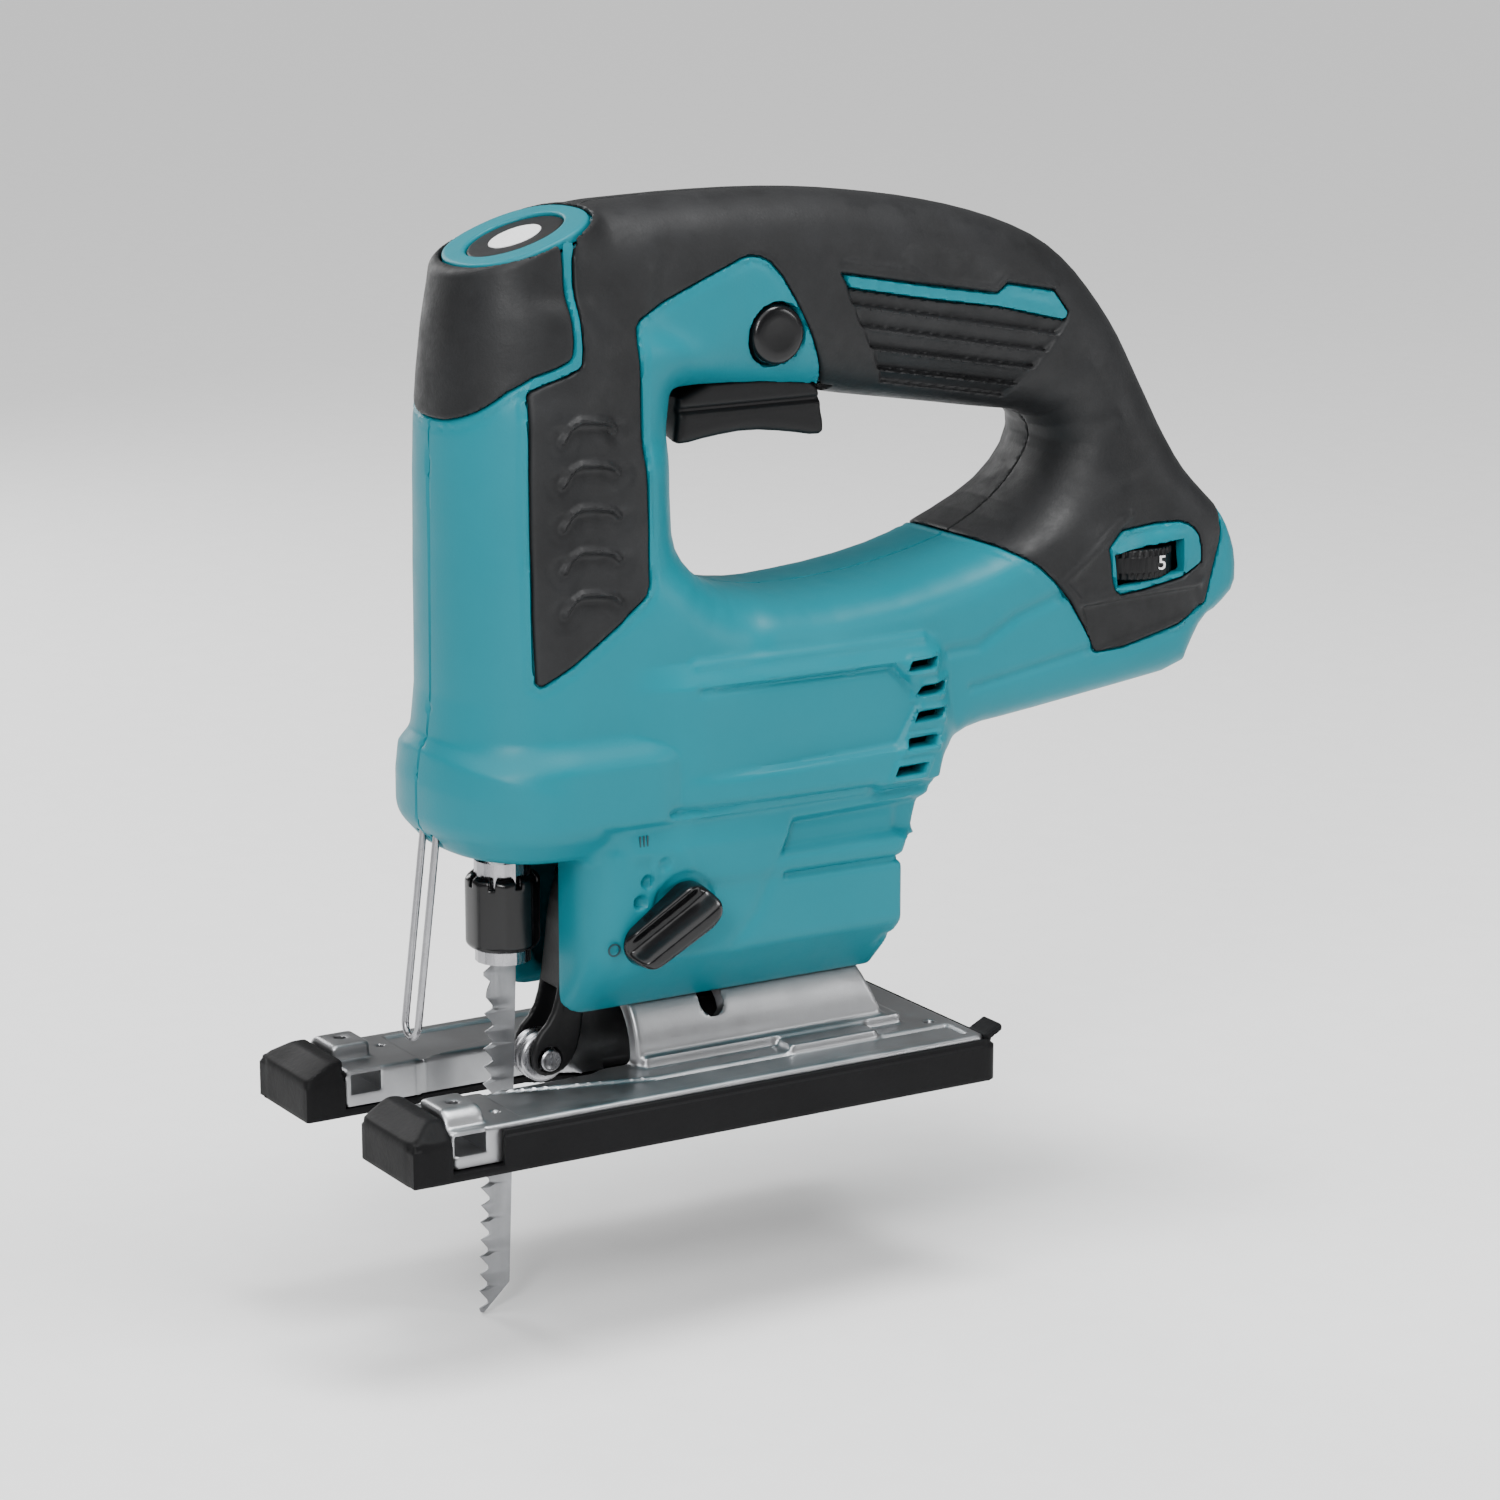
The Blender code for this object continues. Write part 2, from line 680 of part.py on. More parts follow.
def base_fixings():
    inner, outer = 9.6, SADDLE_RADIUS - SADDLE_WALL - GAP
    reach = math.radians(36.0)
    arc = circle((0.0, BEVEL_AXIS_Z), outer, 13, math.pi / 2 - reach, 2 * reach)
    arc += circle((0.0, BEVEL_AXIS_Z), inner, 9, math.pi / 2 + reach, -2 * reach)
    clamp = prism("bevel_clamp_plate", arc, "Y", 3.0, 22.0, dark_steel())
    cut(clamp, rod("hole", (0, BOLT_Y, 0), "Z", 2.5 + GAP, 10.0, 40.0, count=16))
    finish(clamp, dark_steel())
    top = BEVEL_AXIS_Z + inner * math.cos(math.asin(4.2 / inner)) - GAP
    profile = ((4.0, top - 3.4), (4.2, top - 3.0), (4.2, top), (2.5, top), (2.5, 45.0), (1.9, 45.6))
    bolt = turned("base_bolt", profile, (0, BOLT_Y, 0), "Z", steel(), 20)
    cut(bolt, rod("hex", (0, BOLT_Y, 0), "Z", 2.3, 10.0, top - 1.2, count=6))
    finish(bolt, steel())
    anchor = box("base_anchor", (-11.0, 11.0), (2.0, 24.0), (33.5 + GAP, 43.0), cast_aluminium())
    cut(anchor, rod("tapped", (0, BOLT_Y, 0), "Z", 2.5 + GAP, 20.0, 60.0, count=16))
    finish(anchor, cast_aluminium())


# Drive


def blade():
    """A T-shank wood blade, raked a little forward, as a strip that climbs tooth by tooth."""
    back, front = -29.3, -29.3 - BLADE_WIDTH
    edge = [(BLADE_TIP_Z, front)]
    count = int((27.0 - BLADE_TIP_Z - 1.0) / TOOTH_PITCH)
    for i in range(count):
        z = BLADE_TIP_Z + 1.0 + i * TOOTH_PITCH
        edge += [(z, front), (z + 0.9, front + TOOTH_DEPTH)]
    edge += [(27.0, front), (30.5, front + 1.4), (34.0, front + 1.4), (49.0, front + 1.4)]
    rings = []
    for z, tooth in edge:
        lean = max(30.0 - z, 0.0) * BLADE_RAKE
        slope = max(POINT_Z - z, 0.0) * (BLADE_WIDTH - 1.0) / (POINT_Z - BLADE_TIP_Z)
        neck = SHANK_STEP if z > 32.0 else 0.0
        low, high = back - lean - max(slope, neck), tooth - lean
        low = max(low, high + 0.5)
        rings.append([(-0.6, low, z), (0.6, low, z), (0.6, high, z), (-0.6, high, z)])
    return loft("blade", rings, steel())


def plunger():
    y = PLUNGER_Y
    profile = ((6.2, 34.8), (6.2, 57.6), (ROD_RADIUS, 58.6), (ROD_RADIUS, 155.4), (3.6, 156.0))
    made = turned("plunger_rod", profile, (0, y, 0), "Z", steel())
    add(made, box("yoke", (-13.5, 13.5), (y + 1.0, y + 9.6), (CRANK_Z - 6.5, CRANK_Z + 6.5)))
    cut(made, box("shank_slot", (-1.0, 1.0), (y - 3.5, y + 2.0), (30.0, 50.0)))
    cut(made, box("yoke_slot", (-12.6, 12.6), (y + 5.4, y + 12.0), (CRANK_Z - 3.6, CRANK_Z + 3.6)))
    finish(made, steel())
    collar = turned(
        "blade_clamp", ((7.4, 36.8), (COLLAR_RADIUS, 38.0), (COLLAR_RADIUS, 54.0), (7.6, 55.4)),
        (0, y, 0), "Z", black_plastic(),
    )
    cut(collar, rod("bore", (0, y, 0), "Z", 6.2 + GAP, 20.0, 70.0))
    for turn in range(6):
        angle = math.tau * turn / 6
        x, dy = (COLLAR_RADIUS + 0.5) * math.cos(angle), (COLLAR_RADIUS + 0.5) * math.sin(angle)
        cut(collar, rod("flute", (x, y + dy, 0), "Z", 1.3, 40.0, 52.0, count=8))
    finish(collar, black_plastic())


def guides():
    for name, low, high in (("lower_plunger_guide", 68.2, 77.0), ("upper_plunger_guide", 138.0, 146.0)):
        made = rod(name, (0, PLUNGER_Y, 0), "Z", 8.6, low, high, steel())
        cut(made, rod("bore", (0, PLUNGER_Y, 0), "Z", ROD_RADIUS + GAP, 60.0, 170.0))
        finish(made, steel())


def gear_outline(centre, teeth, root, tip):
    """(x, z) points of a spur gear with straight flanks."""
    points = []
    for i in range(teeth * 4):
        radius = (root, root, tip, tip)[i % 4]
        angle = math.tau * (i - 0.5) / (teeth * 4)
        points.append((centre[0] + radius * math.cos(angle), centre[1] + radius * math.sin(angle)))
    return points


def gear_train():
    outline = mirrored_x([(19.0, 66.5), (19.0, 102.0), (10.8, 108.5), (10.8, 123.0), (8.0, 126.0)])
    plate = prism("gear_housing", outline, "Y", -3.4, -1.2, cast_aluminium())
    cut(plate, rod("shaft_hole", (0, 0, MOTOR_Z), "Y", 4.0, -10.0, 10.0))
    cut(plate, rod("pin_hole", (0, 0, CRANK_Z), "Y", 4.0 + GAP, -10.0, 10.0))
    finish(plate, cast_aluminium())
    gear = prism("crank_gear", gear_outline((0.0, CRANK_Z), 30, 15.6, 17.0), "Y", -9.4, -4.0, steel())
    cut(gear, rod("bore", (0, 0, CRANK_Z), "Y", 4.0 + GAP, -12.0, 0.0))
    for turn in range(5):
        angle = math.pi / 2 + math.tau * (turn + 0.5) / 5
        x, z = 10.6 * math.cos(angle), CRANK_Z + 10.6 * math.sin(angle)
        cut(gear, rod("light", (x, 0, z), "Y", 2.3, -12.0, 0.0, count=8))
    add(gear, rod("crank_pin", (STROKE / 2, 0, CRANK_Z), "Y", 2.6, -21.9, -6.0, count=20))
    finish(gear, steel())
    pin = turned(
        "gear_pin", ((3.6, -12.4), (4.0, -12.0), (4.0, -1.4)), (0, 0, CRANK_Z), "Y", dark_steel(), 20
    )
    finish(pin, dark_steel())


def motor():
    z = MOTOR_Z
    profile = ((2.4, -9.6), (2.4, 18.0), (9.6, 18.0), (9.6, 46.0), (2.4, 46.0), (2.4, 68.6))
    shaft = turned("motor_rotor", profile, (0, 0, z), "Y", dark_steel())
    add(shaft, prism("pinion", gear_outline((0.0, z), 10, 4.6, 5.8), "Y", -9.2, -4.2))
    finish(shaft, dark_steel())
    stator = rod("motor_stator", (0, 0, z), "Y", 20.5, 17.0, 47.0, copper(), 28)
    cut(stator, rod("bore", (0, 0, z), "Y", 9.6 + 0.5, 0.0, 60.0, count=20))
    for turn in range(6):
        angle = math.tau * (turn + 0.5) / 6
        x, dz = 14.0 * math.cos(angle), 14.0 * math.sin(angle)
        cut(stator, rod("slot", (x, 0, z + dz), "Y", 2.6, 0.0, 60.0, count=8))
    finish(stator, copper())
    fan = rod("motor_fan", (0, 0, z), "Y", 17.6, 49.2, 51.0, black_plastic(), 24)
    for turn in range(9):
        angle = math.tau * turn / 9
        vane = box("vane", (6.0, 17.2), (-0.7, 0.7), (50.5, 56.0))
        turned_by = Matrix.Rotation(math.pi / 2, 4, "X") @ Matrix.Rotation(angle, 4, "Z")
        vane.data.transform(Matrix.Translation((0, 0, z * MM)) @ Matrix.Scale(-1, 4, (0, 1, 0)) @ turned_by)
        vane.data.flip_normals()
        add(fan, vane)
    add(fan, rod("hub", (0, 0, z), "Y", 6.4, 49.2, 56.0, count=20))
    cut(fan, rod("bore", (0, 0, z), "Y", 2.4 + 0.3, 40.0, 60.0, count=20))
    finish(fan, black_plastic())
    for name, low, high in (("front_bearing", 1.6, 6.6), ("rear_bearing", 62.4, 67.4)):
        ring = rod(name, (0, 0, z), "Y", 6.6, low, high, steel())
        cut(ring, rod("bore", (0, 0, z), "Y", 2.4 + 0.3, -5.0, 80.0, count=20))
        finish(ring, steel())


def roller_set():
    y, z = ROLLER_CENTRE
    pin = turned(
        "roller_pin", ((2.1, -6.0), (2.5, -5.7), (2.5, 5.7), (2.1, 6.0)), (0, y, z), "X", steel(), 20
    )
    finish(pin, steel())
    wheel = turned(
        "blade_roller",
        ((ROLLER_RADIUS, -2.9), (ROLLER_RADIUS, -1.2), (ROLLER_RADIUS - 0.5, 0.0),
         (ROLLER_RADIUS, 1.2), (ROLLER_RADIUS, 2.9)),
        (0, y, z), "X", steel(), 32,
    )
    cut(wheel, rod("bore", (0, y, z), "X", 2.5 + GAP, -10.0, 10.0, count=20))
    finish(wheel, steel())
    arm = circle((y, z), 4.3, 9, math.radians(150.0), math.radians(165.0))
    arm += [(-15.5, 13.5), (-14.0, 24.0), (-9.0, 34.0), (-8.0, 50.0)]
    arm += circle(HOLDER_PIVOT, 4.0, 7, 0.0, math.radians(150.0))
    arm += [(-18.6, 44.0), (-19.6, 34.0), (-20.8, 24.0), (-24.0, 17.0)]
    holder = prism("roller_holder", arm, "X", -5.2, 5.2, black_plastic())
    cut(holder, box("fork", (-3.3, 3.3), (-40.0, -12.0), (0.0, 27.0)))
    cut(holder, rod("pin_hole", (0, y, z), "X", 2.5 + GAP, -10.0, 10.0, count=20))
    cut(holder, rod("pivot_hole", (0, *HOLDER_PIVOT), "X", 1.7 + GAP, -10.0, 10.0, count=16))
    finish(holder, black_plastic())
    pivot = rod("holder_pin", (0, *HOLDER_PIVOT), "X", 1.7, -9.8, 9.8, steel(), 16)
    finish(pivot, steel())


# Controls


def lever():
    """The orbital lever: a raised lozenge outside, its shaft and cam inside."""
    y, z = LEVER_PIVOT
    reach = 12.6
    angle = math.radians(213.0)
    tip = (y + reach * math.cos(angle), z + reach * math.sin(angle))
    foot = circle((y, z), 5.6, 13, angle - math.radians(270.0), math.pi)
    foot += circle(tip, 5.0, 11, angle - math.pi / 2, math.pi)
    crest = circle((y, z), 4.4, 13, angle - math.radians(270.0), math.pi)
    crest += circle(tip, 2.6, 11, angle - math.pi / 2, math.pi)
    rings = [[(x, a, b) for a, b in ring] for x, ring in ((27.9, foot), (31.0, foot), (36.6, crest))]
    knob = loft("orbital_lever", rings, black_plastic())
    add(knob, rod("shaft", (0, y, z), "X", 3.0, 20.0, 29.0))
    finish(knob, black_plastic())
    cam = rod("orbital_cam", (0, y, z), "X", 4.2, -9.0, 19.6, dark_steel())
    cut(cam, box("flat", (-8.0, 8.0), (y - 10.0, y - 2.2), (z - 10.0, z + 10.0)))
    finish(cam, dark_steel())


def trigger_set():
    outline = [(7.0, 160.5), (7.0, 147.2), (12.0, 148.2), (26.0, 148.6), (38.0, 146.6), (43.8, 145.8)]
    outline += [(45.4, 148.0), (45.6, 156.0), (40.0, 160.5)]
    trigger = prism("trigger", outline, "X", -8.8, 8.8, black_plastic())
    bevel = trigger.modifiers.new("edges", "BEVEL")
    bevel.width = 1.2 * MM
    bevel.segments = 2
    bevel.limit_method = "ANGLE"
    finish(trigger, black_plastic())
    switch = box("switch_body", (-7.5, 7.5), (-6.5, 18.5), (166.0, 186.0), black_plastic())
    add(switch, box("stem", (-3.0, 3.0), (12.0, 17.0), (165.2, 167.0)))
    finish(switch, black_plastic())
    y, z = LOCK_CENTRE
    lock = turned(
        "lock_button", ((5.4, -17.6), (6.6, -16.6), (6.6, 16.6), (5.4, 17.6)), (0, y, z), "X",
        black_plastic(), 28,
    )
    finish(lock, black_plastic())
    board = box("controller_board", (-15.0, 8.0), (74.0, 104.0), (99.0, 101.0), board_green())
    for x, across in ((-11.0, 84.0), (-3.0, 90.0), (3.0, 80.0)):
        add(board, box("chip", (x - 2.5, x + 2.5), (across - 3.0, across + 3.0), (100.5, 104.0)))
    finish(board, board_green())


def speed_dial():
    """A thumb wheel that shows through the left window, its axle tilted with the tube."""
    x, y, z = DIAL_CENTRE
    ribs = []
    for i in range(60):
        radius = DIAL_RADIUS if i % 3 else DIAL_RADIUS - 0.6
        angle = math.tau * i / 60
        ribs.append((x + radius * math.cos(angle), y + radius * math.sin(angle)))
    wheel = prism("speed_dial", ribs, "Z", z - 3.4, z + 3.4, black_plastic())
    cut(wheel, rod("axle_hole", (x, y, 0), "Z", 2.0, z - 9.0, z + 9.0, count=16))
    finish(wheel, black_plastic())


def battery_parts():
    carrier = box("battery_carrier", (-18.5, 18.5), (96.0, 137.0), (93.0 + GAP, 96.0), black_plastic())
    for side in (-1, 1):
        rail = box("rail", sorted((side * 13.0, side * 16.4)), (99.0, 137.0), (86.0, 94.0))
        add(carrier, rail)
    finish(carrier, black_plastic())
    block = box("terminal_block", (-9.0, 9.0), (100.0, 112.0), (83.0, 93.0), black_plastic())
    for x in (-6.0, 0.0, 6.0):
        cut(block, box("contact", (x - 0.8, x + 0.8), (104.0, 120.0), (80.0, 91.0)))
    finish(block, black_plastic())


def lamps():
    for name, x in (("left_lamp", 13.0), ("right_lamp", -13.0)):
        profile = ((1.6, 60.4), (2.2, 61.0), (2.2, 67.0))
        finish(turned(name, profile, (x, -40.0, 0), "Z", lens_clear(), 16), lens_clear())


def wire_guard():
    """Round wire: two legs leaning forward, joined by a half turn."""
    half, radius = 3.1, 0.85
    top, low = (-49.3, 66.0), (-54.6, 24.4)
    path = [(half, -49.3, top[1]), (half, -49.4, 60.0), (half, *low)]
    for i in range(1, 8):
        angle = math.pi * i / 8
        path.append((half * math.cos(angle), low[0] - 0.12 * half * math.sin(angle), low[1] - half * math.sin(angle)))
    path += [(-half, *low), (-half, -49.4, 60.0), (-half, -49.3, top[1])]
    points = [Vector(p) for p in path]
    rings = []
    for i, point in enumerate(points):
        along = (points[min(i + 1, len(points) - 1)] - points[max(i - 1, 0)]).normalized()
        side = along.cross(Vector((0.0, 1.0, 0.0))).normalized()
        other = along.cross(side)
        ring = [tuple(point + side * u + other * v) for u, v in circle((0.0, 0.0), radius, 10)]
        rings.append(ring)
    finish(loft("wire_guard", rings, steel()), steel())


PIVOTS = {  # the point of each moving piece's axis that becomes its origin
    "base_plate": (0.0, 0.0, BEVEL_AXIS_Z),
    "base_cover": (0.0, 0.0, BEVEL_AXIS_Z),
    "plunger_rod": (0.0, PLUNGER_Y, MOTOR_Z),
    "blade": (0.0, PLUNGER_Y, MOTOR_Z),
    "blade_clamp": (0.0, PLUNGER_Y, 46.0),
    "motor_rotor": (0.0, 30.0, MOTOR_Z),
    "motor_fan": (0.0, 30.0, MOTOR_Z),
    "crank_gear": (0.0, -6.0, CRANK_Z),
    "orbital_lever": (28.0, *LEVER_PIVOT),
    "orbital_cam": (0.0, *LEVER_PIVOT),
    "roller_holder": (0.0, *HOLDER_PIVOT),
    "roller_pin": (0.0, *HOLDER_PIVOT),
    "blade_roller": (0.0, *ROLLER_CENTRE),
    "trigger": (0.0, *TRIGGER_PIVOT),
    "lock_button": (0.0, *LOCK_CENTRE),
    "speed_dial": DIAL_CENTRE,
}


def set_origins():
    for name, point in PIVOTS.items():
        moving = bpy.data.objects[name]
        offset = Vector(point) * MM
        moving.data.transform(Matrix.Translation(-offset))
        moving.location = offset


def main():
    clear_scene()
    housings()
    grips()
    top_trim()
    screws()
    base_cover()
    base_plate()
    base_fixings()
    blade()
    plunger()
    guides()
    gear_train()
    motor()
    roller_set()
    lever()
    trigger_set()
    speed_dial()
    battery_parts()
    lamps()
    wire_guard()
    set_origins()


main()
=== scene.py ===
"""Looks of the cordless jigsaw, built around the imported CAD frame.

The moulded and cast pieces are implicit solids, meshed on a fine grid. The blade, the wire and the turned
pieces are meshes drawn through rings. Lengths in this script are millimetres; the objects are in metres.
"""

import json
import math

import bmesh
import bpy
import numpy as np
from mathutils import Matrix, Vector


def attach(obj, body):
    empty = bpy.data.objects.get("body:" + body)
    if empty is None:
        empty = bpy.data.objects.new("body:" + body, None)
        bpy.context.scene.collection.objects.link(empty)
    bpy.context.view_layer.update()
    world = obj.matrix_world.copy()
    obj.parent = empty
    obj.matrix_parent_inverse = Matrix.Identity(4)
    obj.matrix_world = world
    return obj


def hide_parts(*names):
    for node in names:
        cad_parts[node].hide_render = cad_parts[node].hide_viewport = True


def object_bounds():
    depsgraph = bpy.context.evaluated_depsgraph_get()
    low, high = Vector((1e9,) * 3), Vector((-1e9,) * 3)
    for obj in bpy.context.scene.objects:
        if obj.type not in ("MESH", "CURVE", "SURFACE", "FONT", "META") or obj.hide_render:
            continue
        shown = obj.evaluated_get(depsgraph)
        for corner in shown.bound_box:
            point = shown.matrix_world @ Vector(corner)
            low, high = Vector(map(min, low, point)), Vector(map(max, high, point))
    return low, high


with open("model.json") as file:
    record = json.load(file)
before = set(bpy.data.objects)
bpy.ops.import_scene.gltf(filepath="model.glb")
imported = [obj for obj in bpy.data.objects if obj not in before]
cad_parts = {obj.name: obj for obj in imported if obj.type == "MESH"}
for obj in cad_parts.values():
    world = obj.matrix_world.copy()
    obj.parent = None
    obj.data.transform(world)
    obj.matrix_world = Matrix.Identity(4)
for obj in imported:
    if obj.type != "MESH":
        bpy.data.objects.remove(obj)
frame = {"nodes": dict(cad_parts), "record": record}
CAD_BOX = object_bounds()

MM = 0.001
WALL = 3.0  # thickness of the housing
SKIN = 1.5  # thickness of the rubber
SEAM = 0.3  # groove between two mouldings
HALF_GAP = 0.12  # from the centre plane to each half
SHELL_CELL = 0.8  # grid of the housing halves
GRIP_CELL = 0.56
TRIM_CELL = 0.45
BASE_CELL = 0.62
FINE_CELL = 0.36

TOP_TILT = math.radians(20.5)
TOP_CENTRE = (-27.1, 193.1)
PLUNGER_Y = -32.0
BEVEL_AXIS_Z = 12.5
SADDLE_RADIUS = 17.0
BOLT_Y = 12.5
SOLE_HALF = 38.2
SOLE_END = 73.8
LOCK_CENTRE = (28.1, 169.8)
LEVER_PIVOT = (-2.1, 49.2)
DIAL_CENTRE = (14.0, 122.3, 111.2)
DIAL_RADIUS = 11.75
ROLLER_CENTRE = (-23.4, 11.5)
HOLDER_PIVOT = (-12.0, 50.0)
SCREWS = ((-40.0, 172.0), (-42.0, 128.0), (-12.0, 184.0), (64.0, 186.0), (50.0, 58.0), (120.0, 152.0))


# Materials


def new_material(name, colour, roughness, metallic=0.0):
    made = bpy.data.materials.new(name)
    made.use_nodes = True
    shader = made.node_tree.nodes["Principled BSDF"]
    shader.inputs["Base Color"].default_value = (*colour, 1.0)
    shader.inputs["Roughness"].default_value = roughness
    shader.inputs["Metallic"].default_value = metallic
    return made, shader


def node(tree, kind, **values):
    made = tree.nodes.new(kind)
    for key, value in values.items():
        if key in made.inputs:
            made.inputs[key].default_value = value
        else:
            setattr(made, key, value)
    return made


def object_point(tree, stretch=(1.0, 1.0, 1.0)):
    where = node(tree, "ShaderNodeTexCoord")
    mapped = node(tree, "ShaderNodeMapping")
    mapped.inputs["Scale"].default_value = stretch
    tree.links.new(where.outputs["Object"], mapped.inputs["Vector"])
    return mapped.outputs["Vector"]


def noise(tree, vector, scale, detail=3.0, rough=0.5):
    made = node(tree, "ShaderNodeTexNoise", Scale=scale, Detail=detail, Roughness=rough)
    tree.links.new(vector, made.inputs["Vector"])
    return made.outputs["Fac"]


def ramp(tree, fac, low, high, start=0.3, end=0.7):
    """A colour or a grey that runs from low to high."""
    made = node(tree, "ShaderNodeValToRGB")
    colours = [c if isinstance(c, tuple) else (c, c, c) for c in (low, high)]
    for stop, place, colour in zip(made.color_ramp.elements, (start, end), colours):
        stop.position = place
        stop.color = (*colour, 1.0)
    tree.links.new(fac, made.inputs["Fac"])
    return made.outputs["Color"]


def bump(tree, shader, height, strength, distance, before=None):
    made = node(tree, "ShaderNodeBump", Strength=strength, Distance=distance)
    tree.links.new(height, made.inputs["Height"])
    if before is not None:
        tree.links.new(before, made.inputs["Normal"])
    tree.links.new(made.outputs["Normal"], shader.inputs["Normal"])
    return made.outputs["Normal"]


def tone(colour, factor):
    return tuple(min(c * factor, 1.0) for c in colour)


def moulded(name, colour, roughness, grain, strength=0.25, spread=0.06, coat=0.0, shine=0.3):
    """Injection-moulded plastic: eroded grain, faint flow marks and a rubbed sheen."""
    made, shader = new_material(name, colour, roughness)
    tree = made.node_tree
    point = object_point(tree)
    flow = noise(tree, point, 22.0, 4.0)
    shade = ramp(tree, flow, tone(colour, 1 - spread), tone(colour, 1 + spread))
    tree.links.new(shade, shader.inputs["Base Color"])
    rub = noise(tree, point, 60.0, 5.0, 0.6)
    tree.links.new(ramp(tree, rub, roughness - 0.06, roughness + 0.07), shader.inputs["Roughness"])
    fine = noise(tree, point, grain, 2.0, 0.6)
    bump(tree, shader, fine, strength, 0.00012)
    shader.inputs["Specular IOR Level"].default_value = shine
    shader.inputs["Coat Weight"].default_value = coat
    shader.inputs["Coat Roughness"].default_value = 0.3
    return made


def soft_rubber(name, colour):
    """Overmoulded elastomer: matt, with dusty mottling and a pebbled grain."""
    made, shader = new_material(name, colour, 0.6)
    tree = made.node_tree
    point = object_point(tree)
    cloud = noise(tree, point, 45.0, 6.0, 0.65)
    shade = ramp(tree, cloud, tone(colour, 0.72), tone(colour, 1.7), 0.35, 0.75)
    tree.links.new(shade, shader.inputs["Base Color"])
    dust = noise(tree, point, 160.0, 4.0, 0.7)
    tree.links.new(ramp(tree, dust, 0.44, 0.66), shader.inputs["Roughness"])
    pebble = noise(tree, point, 1500.0, 2.0, 0.6)
    first = bump(tree, shader, pebble, 0.3, 0.00015)
    wave = noise(tree, point, 260.0, 3.0, 0.5)
    bump(tree, shader, wave, 0.12, 0.0003, first)
    shader.inputs["Specular IOR Level"].default_value = 0.3
    return made


def cast_metal(name, colour, low=0.26, high=0.42):
    """Tumbled die casting: fine pits, cloudy oxide and brighter rubbed patches."""
    made, shader = new_material(name, colour, 0.34, 1.0)
    tree = made.node_tree
    point = object_point(tree)
    cloud = noise(tree, point, 38.0, 5.0, 0.6)
    tree.links.new(ramp(tree, cloud, tone(colour, 0.84), tone(colour, 1.1)), shader.inputs["Base Color"])
    patch = noise(tree, point, 90.0, 4.0, 0.6)
    tree.links.new(ramp(tree, patch, low, high), shader.inputs["Roughness"])
    pits = noise(tree, point, 1700.0, 3.0, 0.7)
    bump(tree, shader, pits, 0.22, 0.0001)
    return made


def brushed_metal(name, colour, roughness, stretch=(1.0, 1.0, 1.0), strength=0.12):
    """Ground or drawn steel: streaks along the direction that the stretch leaves short."""
    made, shader = new_material(name, colour, roughness, 1.0)
    tree = made.node_tree
    lines = noise(tree, object_point(tree, stretch), 900.0, 2.0, 0.6)
    tree.links.new(ramp(tree, lines, roughness - 0.07, roughness + 0.09), shader.inputs["Roughness"])
    stain = noise(tree, object_point(tree), 120.0, 4.0, 0.6)
    tree.links.new(ramp(tree, stain, tone(colour, 0.86), tone(colour, 1.08)), shader.inputs["Base Color"])
    bump(tree, shader, lines, strength, 0.00005)
    return made


def wound_copper():
    """Enamelled windings: turns as fine ribs round the core."""
    made, shader = new_material("windings", (0.62, 0.24, 0.08), 0.35, 1.0)
    tree = made.node_tree
    turns = node(tree, "ShaderNodeTexWave", Scale=420.0, Distortion=1.2)
    tree.links.new(object_point(tree), turns.inputs["Vector"])
    shade = ramp(tree, turns.outputs["Fac"], (0.3, 0.1, 0.03), (0.8, 0.34, 0.12))
    tree.links.new(shade, shader.inputs["Base Color"])
    bump(tree, shader, turns.outputs["Fac"], 0.5, 0.0002)
    return made


def solder_mask():
    """Green lacquer over copper tracks."""
    made, shader = new_material("solder_mask", (0.02, 0.13, 0.05), 0.35)
    tree = made.node_tree
    tracks = node(tree, "ShaderNodeTexVoronoi", Scale=420.0)
    tree.links.new(object_point(tree), tracks.inputs["Vector"])
    shade = ramp(tree, tracks.outputs["Distance"], (0.03, 0.2, 0.07), (0.015, 0.1, 0.04))
    tree.links.new(shade, shader.inputs["Base Color"])
    bump(tree, shader, tracks.outputs["Distance"], 0.2, 0.0001)
    return made


def clear_lens(name, colour):
    """Clear plastic with a faint haze."""
    made, shader = new_material(name, colour, 0.08)
    tree = made.node_tree
    haze = noise(tree, object_point(tree), 400.0, 3.0)
    tree.links.new(ramp(tree, haze, 0.05, 0.16), shader.inputs["Roughness"])
    shader.inputs["Transmission Weight"].default_value = 0.5
    return made


def ink_and_painted_shade(name, colour):
    """Screen-print ink for the white figures, and a darkened teal for the scale marks that is painted shade:
    slightly uneven and a little proud.
    """
    made, shader = new_material(name, colour, 0.5)
    tree = made.node_tree
    speckle = noise(tree, object_point(tree), 1400.0, 3.0)
    tree.links.new(ramp(tree, speckle, tone(colour, 0.88), colour), shader.inputs["Base Color"])
    bump(tree, shader, speckle, 0.15, 0.00005)
    return made


